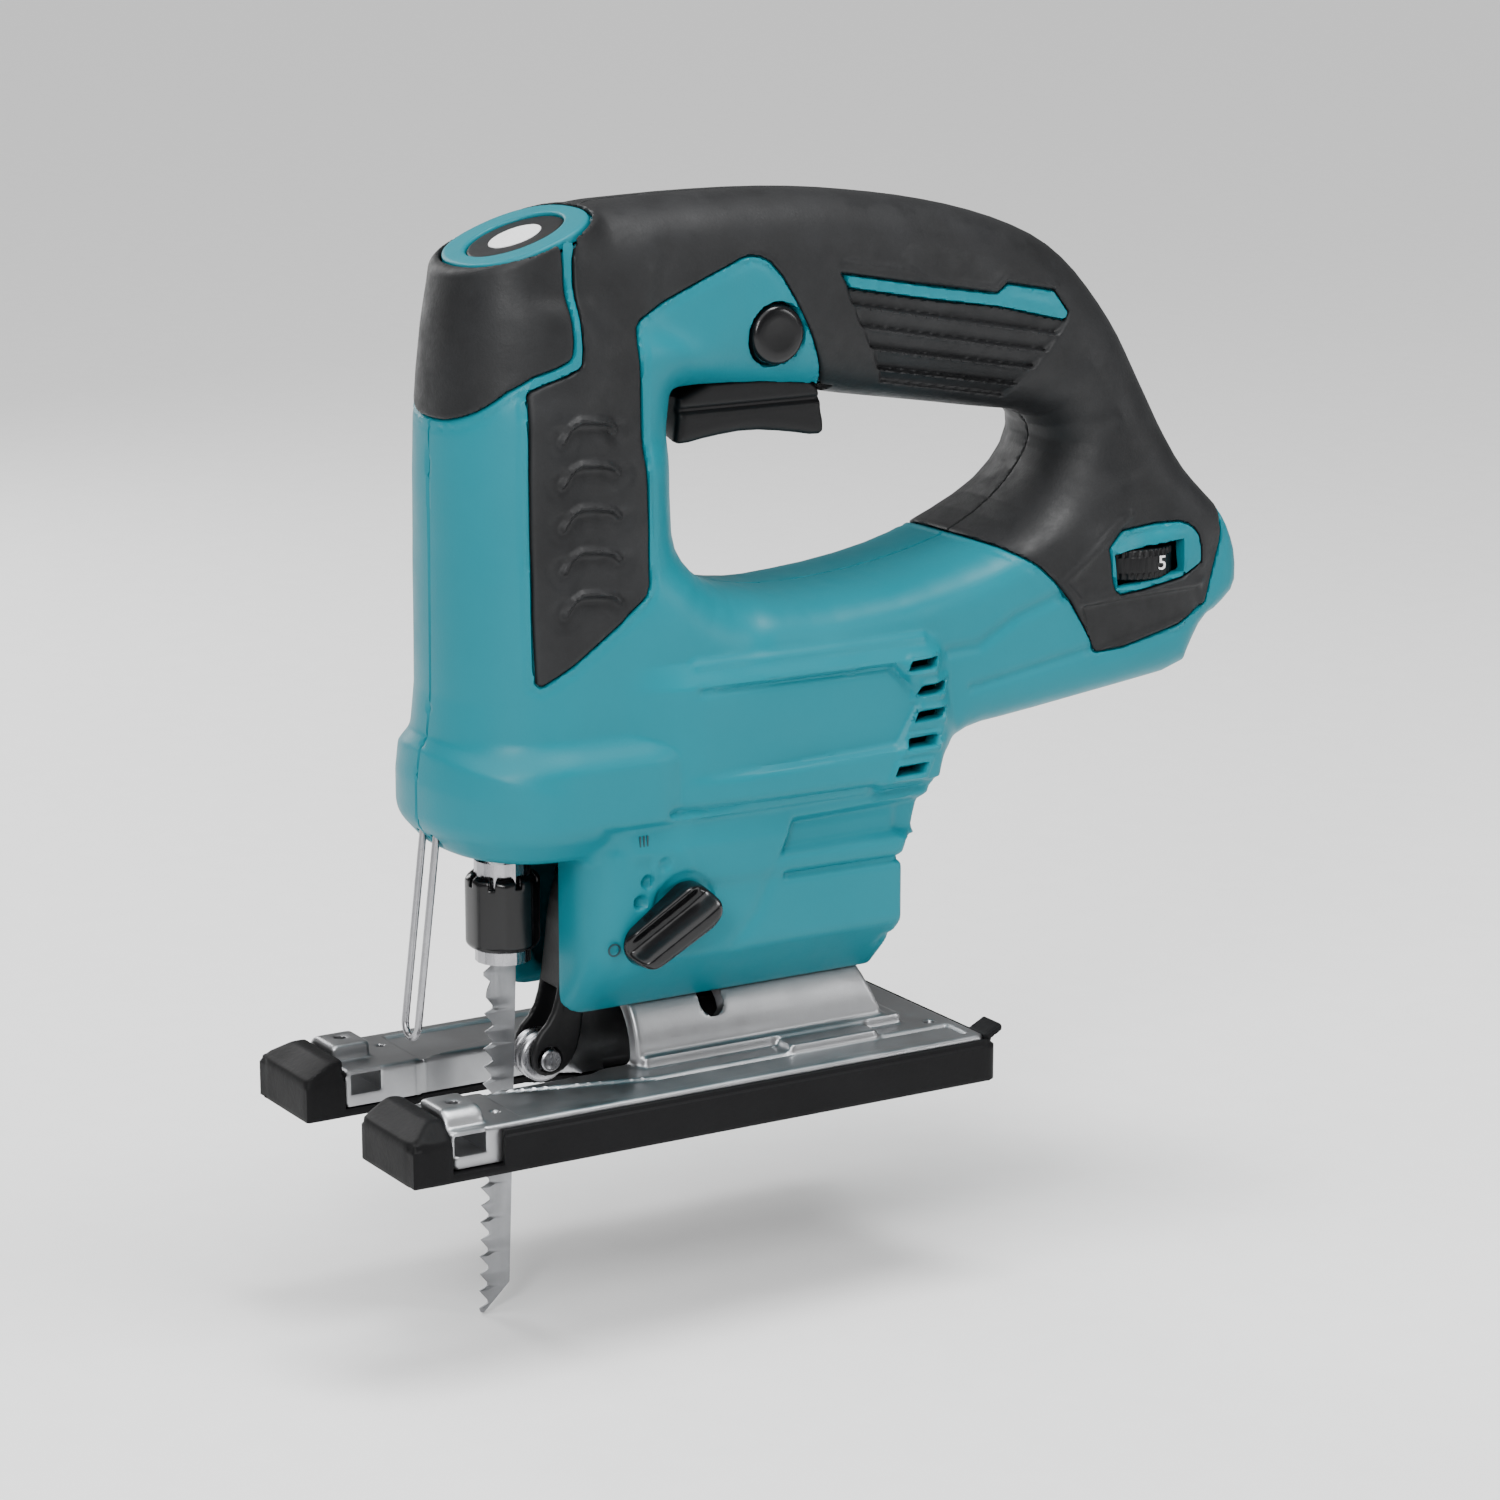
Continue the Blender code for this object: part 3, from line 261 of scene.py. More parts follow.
TEAL = (0.0, 0.150, 0.190)
LOOKS = {
    "teal": moulded("teal_nylon", TEAL, 0.42, 1500.0, 0.22, 0.05, shine=0.22),
    "rubber": soft_rubber("black_overmould", (0.0065, 0.0068, 0.0075)),
    "black": moulded("black_nylon", (0.005, 0.005, 0.0055), 0.4, 1400.0, 0.3, 0.15, shine=0.22),
    "sole": moulded("sole_plastic", (0.004, 0.004, 0.0045), 0.55, 900.0, 0.45, 0.2, shine=0.12),
    "gloss_black": moulded("polished_black", (0.003, 0.003, 0.0035), 0.2, 600.0, 0.05, 0.1, coat=0.1),
    "lens_black": moulded("lens_black", (0.002, 0.002, 0.0025), 0.42, 600.0, 0.05, 0.1),
    "cast": cast_metal("cast_aluminium", (0.36, 0.365, 0.375), 0.3, 0.46),
    "blade_steel": brushed_metal("blade_steel", (0.27, 0.275, 0.285), 0.36, (1.0, 1.0, 0.05), 0.2),
    "steel": brushed_metal("ground_steel", (0.34, 0.34, 0.355), 0.27, (1.0, 1.0, 0.2)),
    "dark_steel": brushed_metal("black_steel", (0.06, 0.06, 0.064), 0.36, (1.0, 0.3, 1.0)),
    "white": ink_and_painted_shade("white_ink", (0.80, 0.80, 0.80)),
    # mark: the teal darkened to a fifth, painted shade of the scale marks' relief
    "mark": ink_and_painted_shade("mark_painted_shade", (0.0, 0.03, 0.04)),
    "copper": wound_copper(),
    "board": solder_mask(),
    "lens": clear_lens("lamp_lens", (0.85, 0.9, 0.92)),
}
SLOT_LOOKS = {
    "housing_teal": "teal", "grip_rubber": "rubber", "black_plastic": "black", "cast_aluminium": "cast",
    "bright_steel": "steel", "dark_steel": "dark_steel", "winding_copper": "copper",
    "board_green": "board", "lamp_lens": "lens",
}


# Field arithmetic. A field is negative inside a solid and roughly counts millimetres.


def soft_min(a, b, blend):
    h = np.maximum(blend - np.abs(a - b), 0.0) / blend
    return np.minimum(a, b) - h * h * blend * 0.25


def soft_max(a, b, blend):
    return -soft_min(-a, -b, blend)


def ease(value, start, end):
    """0 before start, 1 after end, smooth between; start may be over end."""
    t = np.clip((value - start) / (end - start), 0.0, 1.0)
    return t * t * (3.0 - 2.0 * t)


def rounded(points, times=2, closed=True):
    """Cuts the corners of an outline again and again, which rounds it."""
    for _ in range(times):
        nexts = points[1:] + points[:1] if closed else points[1:]
        cut = [] if closed else [points[0]]
        for (a, b), (c, d) in zip(points, nexts):
            cut.append((0.75 * a + 0.25 * c, 0.75 * b + 0.25 * d))
            cut.append((0.25 * a + 0.75 * c, 0.25 * b + 0.75 * d))
        points = cut if closed else cut + [points[-1]]
    return points


def line_distance(points, u, v):
    """Distance to an open polyline."""
    best = np.full(np.broadcast(u, v).shape, 1e6, np.float32)
    for (a, b), (c, d) in zip(points, points[1:]):
        e, f = c - a, d - b
        t = np.clip(((u - a) * e + (v - b) * f) / (e * e + f * f), 0.0, 1.0)
        best = np.minimum(best, (u - a - e * t) ** 2 + (v - b - f * t) ** 2)
    return np.sqrt(best)


def region(outline, u, v):
    """Signed distance to a closed outline, negative inside."""
    inside = np.zeros(np.broadcast(u, v).shape, bool)
    for (a, b), (c, d) in zip(outline, outline[1:] + outline[:1]):
        if b != d:
            inside ^= ((b > v) != (d > v)) & (u < (c - a) * (v - b) / (d - b) + a)
    distance = line_distance(outline + outline[:1], u, v)
    return np.where(inside, -distance, distance)


def slab(u, low, high):
    return np.maximum(low - u, u - high)


def brick(x, y, z, box_x, box_y, box_z):
    return np.maximum(np.maximum(slab(x, *box_x), slab(y, *box_y)), slab(z, *box_z))


def away(centre, u, v):
    """Distance from a point of a plane."""
    return np.hypot(u - centre[0], v - centre[1])


def tilted(y, z):
    """Position along the tilted top, and height over it."""
    dy, dz = y - TOP_CENTRE[0], z - TOP_CENTRE[1]
    c, s = math.cos(TOP_TILT), math.sin(TOP_TILT)
    return dy * c + dz * s, dz * c - dy * s


# Meshing


def corner_count(inside):
    total = np.zeros(tuple(n - 1 for n in inside.shape), np.uint8)
    for i in (slice(None, -1), slice(1, None)):
        for j in (slice(None, -1), slice(1, None)):
            for k in (slice(None, -1), slice(1, None)):
                total += inside[i, j, k]
    return total


def crossing_points(value, cells):
    """The mean of the places where a cell's edges cross the surface."""
    corners = [(i, j, k) for i in (0, 1) for j in (0, 1) for k in (0, 1)]
    at = {c: value[cells[:, 0] + c[0], cells[:, 1] + c[1], cells[:, 2] + c[2]] for c in corners}
    total = np.zeros((len(cells), 3))
    hits = np.zeros(len(cells))
    for first in corners:
        for axis in range(3):
            if first[axis]:
                continue
            second = tuple(1 if i == axis else n for i, n in enumerate(first))
            a, b = at[first], at[second]
            crosses = (a < 0) != (b < 0)
            share = np.where(crosses, a / np.where(a == b, 1.0, a - b), 0.0)
            place = np.tile(np.array(first, float), (len(cells), 1))
            place[:, axis] += share
            total += place * crosses[:, None]
            hits += crosses
    return total / hits[:, None]


def settle(field, points, cell, rounds=2):
    """Moves the points onto the field's zero surface along its gradient."""
    step = 0.12
    for _ in range(rounds):
        x, y, z = points.T
        here = field(x, y, z)
        slope = np.stack([
            field(x + step, y, z) - here, field(x, y + step, z) - here, field(x, y, z + step) - here,
        ], 1) / step
        size = np.maximum((slope ** 2).sum(1), 0.05)
        move = -slope * (here / size)[:, None]
        length = np.linalg.norm(move, axis=1)
        move *= np.minimum(1.0, 0.5 * cell / np.maximum(length, 1e-9))[:, None]
        points = points + move
    return points


def surface(field, low, high, cell):
    """The field's zero surface as points and outward quads, by surface nets."""
    axes = [np.arange(a - cell, b + 2.0 * cell, cell) for a, b in zip(low, high)]
    x, y, z = np.meshgrid(*axes, indexing="ij", sparse=True)
    value = np.broadcast_to(field(x, y, z), tuple(len(a) for a in axes)).astype(np.float32)
    inside = value < 0.0
    total = corner_count(inside)
    active = (total > 0) & (total < 8)
    cells = np.argwhere(active)
    number = np.full(active.shape, -1, np.int64)
    number[active] = np.arange(len(cells))
    points = np.array([a[0] for a in axes]) + (cells + crossing_points(value, cells)) * cell
    points = settle(field, points, cell)
    quads = []
    for axis in range(3):
        ends = [slice(1, -1)] * 3
        ends[axis] = slice(None, -1)
        far = list(ends)
        far[axis] = slice(1, None)
        a, b = inside[tuple(ends)], inside[tuple(far)]
        where = np.argwhere(a != b)
        outward = a[a != b]
        where += [0 if i == axis else 1 for i in range(3)]
        u, v = (axis + 1) % 3, (axis + 2) % 3
        ring = []
        for du, dv in ((0, 0), (-1, 0), (-1, -1), (0, -1)):
            moved = where.copy()
            moved[:, u] += du
            moved[:, v] += dv
            ring.append(number[moved[:, 0], moved[:, 1], moved[:, 2]])
        ring = np.stack(ring, 1)
        ring[~outward] = ring[~outward][:, ::-1]
        quads.append(ring)
    return points, np.concatenate(quads)


def link(name, data):
    made = bpy.data.objects.new(name, data)
    bpy.context.scene.collection.objects.link(made)
    return made


def soften(mesh, degrees):
    """Smooth shading, with edges sharper than this angle left hard."""
    mesh.shade_smooth()
    mesh.set_sharp_from_angle(angle=math.radians(degrees))


def make_mesh(name, points, quads):
    mesh = bpy.data.meshes.new(name)
    mesh.vertices.add(len(points))
    mesh.vertices.foreach_set("co", (points * MM).astype(np.float32).ravel())
    mesh.loops.add(quads.size)
    mesh.loops.foreach_set("vertex_index", quads.astype(np.int32).ravel())
    mesh.polygons.add(len(quads))
    mesh.polygons.foreach_set("loop_start", np.arange(0, quads.size, 4, dtype=np.int32))
    mesh.update(calc_edges=True)
    mesh.validate()
    soften(mesh, 38.0)
    return link(name, mesh)


def place(obj, look, body, slot, *nodes):
    """Gives a piece its material and its body and hides the CAD nodes that it stands for; the slot is not used."""
    obj.data.materials.clear()
    obj.data.materials.append(LOOKS[look])
    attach(obj, body)
    if nodes:
        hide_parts(*nodes)


def carve(name, field, low, high, cell, look, body, slot, *nodes):
    """Meshes a field inside a box and places it as one piece."""
    place(make_mesh(name, *surface(field, low, high, cell)), look, body, slot, *nodes)


# The moulded body: a side outline, inflated to a width that changes from place to place


OUTER = rounded([
    (-50.5, 20.0), (-52.6, 60.0), (-52.6, 82.5), (-48.9, 88.5), (-48.5, 120.0), (-48.4, 150.0),
    (-47.0, 170.0), (-43.9, 188.0), (-42.0, 205.0), (-40.0, 235.0), (-17.0, 235.0), (-15.0, 199.2),
    (0.0, 199.7), (13.0, 200.1), (31.0, 200.0), (46.0, 199.1), (60.0, 197.4), (72.0, 195.5),
    (84.0, 192.8), (95.0, 189.3), (104.0, 185.2), (111.0, 179.8), (117.5, 172.5), (123.0, 164.8),
    (127.0, 157.4), (131.0, 149.0), (134.6, 141.0), (138.4, 133.2), (142.6, 127.4), (147.4, 122.4),
    (150.6, 117.0), (152.8, 110.5), (152.8, 101.5), (146.4, 95.8), (142.6, 94.3), (139.2, 88.8),
    (136.8, 83.2), (112.0, 80.3), (89.0, 77.5), (77.0, 76.6), (70.5, 74.6), (65.5, 71.5),
    (62.4, 62.0), (60.9, 55.4), (57.0, 54.8), (54.5, 50.0), (54.5, 20.0),
], 1)
OPENING = rounded([
    (4.5, 157.0), (4.5, 131.0), (6.0, 124.0), (10.2, 118.6), (18.0, 114.4), (30.0, 112.0),
    (42.0, 111.7), (60.0, 113.2), (77.0, 116.6), (88.0, 120.8), (97.5, 127.0), (104.4, 135.0),
    (106.0, 140.4), (102.0, 145.4), (88.0, 147.4), (75.0, 149.6), (60.0, 152.0), (50.0, 153.6),
    (44.5, 154.8), (24.0, 157.2), (8.0, 158.4),
], 1)
WIDTHS = (  # y, z, half width, depth of the rounding, squareness
    (-30.0, 70.0, 25.2, 25.0, 2.25), (-30.0, 100.0, 25.2, 25.0, 2.25), (-30.0, 150.0, 24.8, 25.0, 2.25),
    (-30.0, 171.0, 22.8, 23.0, 2.25), (-28.0, 190.0, 19.0, 17.5, 2.3), (-10.0, 186.0, 19.3, 18.5, 2.4),
    (4.0, 181.0, 17.6, 19.5, 2.5), (30.0, 178.0, 17.2, 20.5, 2.5), (50.0, 176.0, 17.2, 21.5, 2.5),
    (70.0, 173.0, 17.2, 21.5, 2.5), (87.0, 168.0, 17.4, 20.5, 2.5), (101.0, 160.0, 17.8, 19.5, 2.5),
    (112.0, 149.0, 18.8, 17.5, 2.5), (118.0, 137.0, 20.4, 16.5, 2.6), (123.0, 126.0, 23.0, 14.0, 2.8),
    (132.0, 112.0, 25.6, 11.0, 3.2), (146.0, 109.0, 23.6, 9.0, 3.0), (112.0, 104.0, 25.5, 11.0, 3.2),
    (90.0, 98.0, 25.2, 11.0, 3.2), (70.0, 95.0, 25.0, 12.0, 3.2), (-4.0, 160.0, 22.0, 19.0, 2.4),
    (-3.0, 135.0, 24.6, 19.0, 2.4), (8.0, 106.0, 25.6, 17.0, 2.6), (30.0, 100.0, 26.0, 13.0, 3.0),
    (52.0, 100.0, 25.6, 12.0, 3.2), (58.0, 80.0, 25.4, 7.0, 3.4), (56.0, 62.0, 25.4, 5.0, 3.6),
    (20.0, 70.0, 25.4, 10.0, 3.0), (0.0, 75.0, 25.2, 16.0, 2.6),
)


def widths(y, z):
    """Half width, depth of the rounding and squareness, blended between the listed places."""
    total, weights = [0.0, 0.0, 0.0], 0.0
    for row in WIDTHS:
        weight = ((y - row[0]) ** 2 + (z - row[1]) ** 2 + 30.0) ** -2.5
        weights = weights + weight
        total = [t + weight * value for t, value in zip(total, row[2:])]
    return [t / weights for t in total]


def motor_bulge(y, z):
    """The motor's side stands out from the column and the tube, under a chamfer."""
    top = np.clip((102.2 - z) / 5.2, 0.0, 1.0)
    front = ease(y, -16.0, 4.0)
    rear = ease(y + 0.18 * (z - 80.0), 70.5, 63.5)
    return 3.5 * top * front * rear


def column_flare(y, z):
    """The foot of the column is wider, below a soft shoulder."""
    return 3.9 * ease(z, 88.5, 81.5) * ease(y, 8.0, -10.0)


def body_maps(y, z):
    half, depth, power = widths(y, z)
    half = half + np.maximum(motor_bulge(y, z), column_flare(y, z))
    cap = 27.4 + 2.2 * np.maximum(ease(z, 67.0, 70.0), ease(y, -17.5, -26.0))
    half = soft_min(half, cap, 0.6)
    rim = np.minimum(-region(OUTER, y, z), region(OPENING, y, z))
    return half, depth, power, rim


def inflated(x, y, z):
    """The upper body, inflated from its side outline."""
    half, depth, power, rim = body_maps(y, z)
    u = np.abs(x) / half
    v = np.maximum(depth - rim, 0.0) / depth
    up, vp = u ** (power - 1.0), v ** (power - 1.0)
    total = up * u + vp * v + 1e-9
    radius = total ** (1.0 / power)
    slope = np.sqrt((up / half) ** 2 + (vp / depth) ** 2) * radius ** (1.0 - power)
    made = np.clip((radius - 1.0) / np.maximum(slope, 1.0 / 40.0), -30.0, 30.0)
    made = np.where(rim < -6.0, np.maximum(made, -rim), made)
    _, top = tilted(y, z)
    made = soft_max(made, np.where(y < 0.0, top, -30.0), 1.6)
    chamfer = (made + 0.85 * (68.0 - z)) * 0.76
    made = np.where(y < -8.0, soft_max(made, chamfer - 8.0 * ease(y, -20.0, -8.0), 1.6), made)
    under = np.where(y < -10.0, 61.2, 54.0)
    return soft_max(made, under - z, 2.0)


def gear_block(x, y, z):
    """The lower block, with 45-degree flanks that clear the base and rounded front feet."""
    ax = np.abs(x)
    side = ax - 27.5 + 0.35 * np.maximum(z - 62.0, 0.0)
    front = soft_max(side, -24.0 - y, 11.0)
    made = soft_max(front, y - 54.4, 1.4)
    flank = (ax + 10.0 - z) * 0.7071
    near_front = ease(y, -10.0, -17.0)
    made = (1.0 - near_front) * soft_max(made, flank, 1.2) + near_front * soft_max(made, flank, 6.0)
    made = soft_max(made, 22.9 - z, 2.4)
    notch = np.maximum(y - 54.4 + 0.35 * (34.0 - z), slab(z, 30.6, 34.0))
    made = made + 0.5 * ease(notch, 1.0, -1.0) * ease(y, 50.0, 53.0)
    return np.maximum(made, z - 72.0)


def outer_body(x, y, z):
    return soft_min(inflated(x, y, z) - side_relief(x, y, z), gear_block(x, y, z) - lower_relief(x, y, z), 2.6)


# Surface detail. A relief is how far the surface stands out (or, below zero, is let in).


def stripe(points, y, z, width):
    return np.exp(-(line_distance(points, y, z) / width) ** 2)


def plateau(outline, y, z, edge):
    return ease(-region(outline, y, z), 0.0, edge)


VENTS = ((58.7, 95.8), (61.7, 89.9), (60.6, 84.2), (58.1, 78.4), (54.7, 72.6))
RECESS = [(25.0, 65.6), (62.5, 66.4), (64.0, 56.2), (21.0, 56.0)]
PANEL = [(-2.0, 96.9), (52.0, 96.9), (59.0, 88.0), (52.0, 77.0), (-2.0, 76.2)]


def vent_field(y, z):
    best = 1e6
    for cy, cz in VENTS:
        lean = (y - cy) - 0.45 * (z - cz)
        rise = (z - cz) - 0.03 * (y - cy)
        best = np.minimum(best, np.maximum(np.abs(lean) - 3.7, np.abs(rise) - 1.05))
    return best


def side_relief(x, y, z):
    """Ribs, grooves and recesses on the flat sides of the motor housing."""
    start = ease(y, -6.0, 22.0)
    stop = ease(y, 66.0, 62.0)
    made = -1.0 * plateau(PANEL, y, z, 1.3) * start
    ledge = 75.6 + 0.045 * np.maximum(y + 5.0, 0.0)
    rise = ease(z, ledge + 1.1, ledge - 0.9) * ease(z, 69.2, 70.4)
    made = made + 1.3 * rise * ease(y, -6.0, 30.0) * stop
    made = made - 1.0 * stripe([(-5.3, 70.0), (44.7, 69.9), (47.1, 67.7), (60.0, 68.4)], y, z, 0.9)
    made = made - 2.6 * plateau(RECESS, y, z, 2.6)
    made = made - 0.9 * stripe([(2.0, 96.3), (50.0, 96.0), (57.8, 89.4)], y, z, 0.9)
    made = made + 0.7 * stripe([(2.0, 101.6), (60.0, 101.6)], y, z, 1.0)
    made = made - 0.8 * stripe([(68.0, 97.0), (76.0, 97.4), (86.0, 103.0), (98.0, 106.6)], y, z, 1.3)
    made = made - 0.7 * stripe([(74.0, 88.0), (104.0, 93.0), (128.0, 95.6)], y, z, 1.0)
    vents = vent_field(y, z)
    made = made + 0.55 * np.exp(-((vents - 0.75) / 0.6) ** 2)
    return made * ease(np.abs(x), 17.0, 22.0)


DOTS = ((-7.1, 59.0), (-11.1, 55.5), (-12.9, 51.1))


def lower_relief(x, y, z):
    """The gear case: marks round the lever on the left, and on both sides the recess and the groove over it."""
    made = -1.1 * stripe([(24.0, 52.3), (56.0, 52.0)], y, z, 0.9)
    made = made - 0.35 * stripe([(21.8, 56.4), (16.5, 45.0), (10.5, 38.6)], y, z, 1.6)
    made = made + 0.5 * stripe([(-3.0, 61.0), (-0.9, 57.6)], y, z, 1.1)
    for dot in DOTS:
        made = made - 1.3 * ease(away(dot, y, z), 1.9, 0.9)
    made = made - 0.8 * ease(away(LEVER_PIVOT, y, z), 8.0, 7.0)
    groove = [(-5.3, 70.0), (44.7, 69.9), (60.0, 68.4)]
    both = -2.2 * plateau(RECESS, y, z, 2.6) - 1.0 * stripe(groove, y, z, 0.9)
    return made * ease(x, 22.0, 26.0) + both * ease(np.abs(x), 20.0, 24.0)


GRIP = rounded([
    (-35.8, 161.6), (-35.8, 101.0), (-33.5, 100.2), (-9.6, 116.6), (-8.0, 121.0), (-8.6, 160.0),
    (-9.0, 173.5), (-6.6, 176.6), (17.6, 186.6), (22.4, 187.6), (27.6, 185.0), (34.6, 174.0),
    (43.6, 156.0), (48.0, 147.0), (54.0, 138.0), (58.0, 128.0), (62.5, 125.7), (73.5, 123.0),
    (89.3, 116.1), (98.6, 107.9), (106.2, 95.8), (108.0, 91.2), (138.6, 97.9), (141.6, 108.0),
    (143.9, 116.0), (143.4, 119.5), (149.0, 126.0), (160.0, 150.0), (160.0, 215.0), (-16.0, 215.0),
    (-19.0, 199.5), (-23.2, 193.0), (-23.2, 180.0), (-22.7, 168.2), (-24.6, 166.4), (-34.4, 163.4),
], 1)
CAP = rounded([
    (-62.0, 155.2), (-49.4, 155.2), (-46.4, 156.2), (-36.4, 165.2), (-26.6, 168.4), (-25.0, 170.4),
    (-25.5, 180.0), (-25.7, 190.6), (-26.6, 193.4), (-29.0, 206.0), (-62.0, 206.0),
], 1)
STRIP = [
    (44.3, 181.9), (64.7, 178.2), (84.8, 174.9), (87.8, 176.9), (100.8, 174.4), (104.6, 169.2),
    (103.4, 167.4), (85.7, 171.6), (64.7, 175.0), (46.5, 178.4),
]
RAISED_EDGE = [(45.2, 184.2), (61.7, 181.8), (66.4, 179.0), (84.6, 175.8), (87.6, 177.9), (101.4, 175.4)]
LOUVRES = [
    (42.8, 183.4), (64.7, 179.4), (86.0, 175.0), (105.4, 168.4), (90.4, 150.4), (57.0, 156.4), (48.1, 171.6),
]
DIAL_FRAME = rounded([
    (111.4, 118.8), (130.2, 120.6), (134.4, 119.2), (137.0, 116.0), (137.4, 108.2), (115.0, 104.4), (112.2, 106.4),
], 1)
WINDOW = [(112.9, 114.1), (131.9, 116.3), (132.4, 108.6), (113.5, 106.3)]
SLATS = 5
CHEVRONS = (155.8, 146.6, 137.4, 128.2, 119.0)


def top_opening(x, y, z, half, length, power=2.3):
    """Distance outside an oval column that stands square on the tilted top."""
    along, _ = tilted(y, z)
    u, v = np.abs(x) / half, np.abs(along) / length
    return ((u ** power + v ** power + 1e-9) ** (1.0 / power) - 1.0) * min(half, length)


def crown_seat(x, y, z, grow):
    """The shallow seat of the crown ring in the tilted top."""
    _, up = tilted(y, z)
    return np.maximum(top_opening(x, y, z, 17.9 + grow, 15.2 + grow), -(up + 2.4 + grow))


def skin_depth(y, z):
    """The rubber is thicker under the louvres."""
    return SKIN + 1.4 * plateau(LOUVRES, y, z, 1.6)


def grip_region(x, y, z, side):
    """Where the rubber lies: the outline, less the switch, the dial frame and the teal strip."""
    made = region(GRIP, y, z)
    made = np.maximum(made, -(region(STRIP, y, z) + np.where(np.abs(x) > 8.0, 0.0, 20.0)))
    if side > 0:
        made = np.maximum(made, -(region(DIAL_FRAME, y, z) + np.where(x > 6.0, 0.0, 20.0)))
    return np.maximum(made, -crown_seat(x, y, z, 0.4))


def housing_cuts(x, y, z, side):
    """The openings in a housing half, as one field that is negative where material goes."""
    ax = np.abs(x)
    cuts = [
        brick(ax, y, z, (-1.0, 10.5), (-60.0, -5.5), (10.0, 60.0)),
        np.maximum(np.hypot(x, y - PLUNGER_Y) - 12.6, slab(z, 50.0, 68.0)),
        np.hypot(x, z - BEVEL_AXIS_Z) - (SADDLE_RADIUS + 0.35),
        np.maximum(np.hypot(x, y - BOLT_Y) - 3.0, slab(z, 20.0, 36.0)),
        brick(ax, y, z, (-1.0, 9.4), (2.5, 46.4), (140.0, 164.5)),
        away(LOCK_CENTRE, y, z) - 7.15,
        brick(ax, y, z, (-1.0, 17.0), (98.0, 170.0), (60.0, 93.0)),
        np.maximum(vent_field(y, z), 20.0 - ax),
        np.maximum(np.hypot(ax - 13.0, y + 40.0) - 2.6, slab(z, 55.0, 68.0)),
        np.maximum(np.hypot(ax - 3.1, y + 49.3) - 1.3, slab(z, 55.0, 70.0)),
    ]
    if side > 0:
        cuts.append(np.maximum(region(WINDOW, y, z), 10.0 - x))
        cuts.append(np.maximum(away(LEVER_PIVOT, y, z) - 3.5, 15.0 - x))
    else:
        for screw in SCREWS:
            cuts.append(np.maximum(away(screw, y, z) - 3.45, 7.7 - ax))
    made = cuts[0]
    for field in cuts[1:]:
        made = np.minimum(made, field)
    return made


def housing_field(side):
    """A half shell with its openings, and a pocket wherever rubber lies."""
    def field(x, y, z):
        outer = outer_body(x, y, z)
        bare = np.minimum(inflated(x, y, z), gear_block(x, y, z) + 0.6)
        depth = skin_depth(y, z)
        made = np.maximum(outer, -(bare + WALL + depth * 0.6))
        under = soft_min(grip_region(x, y, z, side), region(CAP, y, z), 0.1)
        made = made + 0.3 * np.exp(-((under - 1.5) / 0.45) ** 2)
        skin = np.maximum(under - SEAM, -(bare + depth + SEAM))
        made = soft_max(made, -skin, 0.6)
        made = np.maximum(made, -crown_seat(x, y, z, SEAM))
        made = soft_max(made, -housing_cuts(x, y, z, side), 0.5)
        return np.maximum(made, HALF_GAP - x * side)
    return field


def slat_relief(x, y, z):
    """Louvres on the handle's flank, fanned between two lines."""
    high = 179.4 - 0.197 * (y - 46.0)
    low = 157.6 - 0.171 * (y - 57.0)
    share = np.clip((high - z) / (high - low), 0.0, 1.2) * (SLATS - 0.6)
    tooth = share - np.floor(share)
    louvre = 1.55 * tooth * ease(tooth, 1.0, 0.86) - 0.25 * np.exp(-((tooth - 0.05) / 0.06) ** 2)
    made = -plateau(LOUVRES, y, z, 1.2) * (0.45 + louvre)
    made = made + 0.5 * stripe(RAISED_EDGE, y, z, 0.7)
    return made * ease(np.abs(x), 8.5, 12.0)


def chevron_relief(x, y, z):
    """Five raised hooks under the thumb, each with a hollow below it."""
    shape = ((-29.0, -3.4), (-26.4, 0.9), (-22.0, 0.7), (-17.6, -0.2), (-15.6, -2.0))
    made = 0.0
    for level in CHEVRONS:
        wing = [(across, level + rise) for across, rise in shape]
        near = line_distance(rounded(wing, 1, False), y, z)
        below = ease(z - level, 0.4, -1.8) * ease(near, 4.5, 0.8)
        made = made + 1.2 * np.exp(-(near / 0.75) ** 2) - 0.9 * below
    return made * ease(np.abs(x), 12.0, 16.0)


def rear_relief(x, y, z):
    """A faceted step round the dial and along the lower rear edge."""
    step = [(118.0, 122.5), (113.0, 119.6), (98.4, 109.4), (103.0, 104.2), (113.0, 105.4), (137.0, 105.6)]
    facet = [(103.0, 103.8), (137.0, 105.2), (139.0, 99.0), (107.0, 92.0)]
    made = 0.7 * stripe(step, y, z, 1.1) - 0.6 * plateau(facet, y, z, 1.0)
    return made * ease(np.abs(x), 18.0, 21.0)


def grip_field(side):
    """The overmould of one half, with its louvres and chevrons."""
    def field(x, y, z):
        bare = inflated(x, y, z)
        relief = slat_relief(x, y, z) + chevron_relief(x, y, z) + rear_relief(x, y, z)
        made = np.maximum(bare - relief, -(bare + skin_depth(y, z)))
        made = soft_max(made, grip_region(x, y, z, side) + 0.1, 0.8)
        made = np.maximum(made, -(away(LOCK_CENTRE, y, z) - 7.2))
        made = np.maximum(made, -brick(np.abs(x), y, z, (-1.0, 9.4), (2.5, 46.6), (140.0, 164.5)))
        if side < 0:
            for screw in SCREWS[2:]:
                made = soft_max(made, 3.6 - away(screw, y, z), 0.6)
        return np.maximum(made, HALF_GAP - x * side)
    return field


def cap_field(x, y, z):
    """The front bumper cap."""
    bare = inflated(x, y, z)
    made = np.maximum(bare, -(bare + SKIN))
    made = soft_max(made, region(CAP, y, z) + 0.1, 0.8)
    return soft_max(made, -crown_seat(x, y, z, 0.4), 0.4)


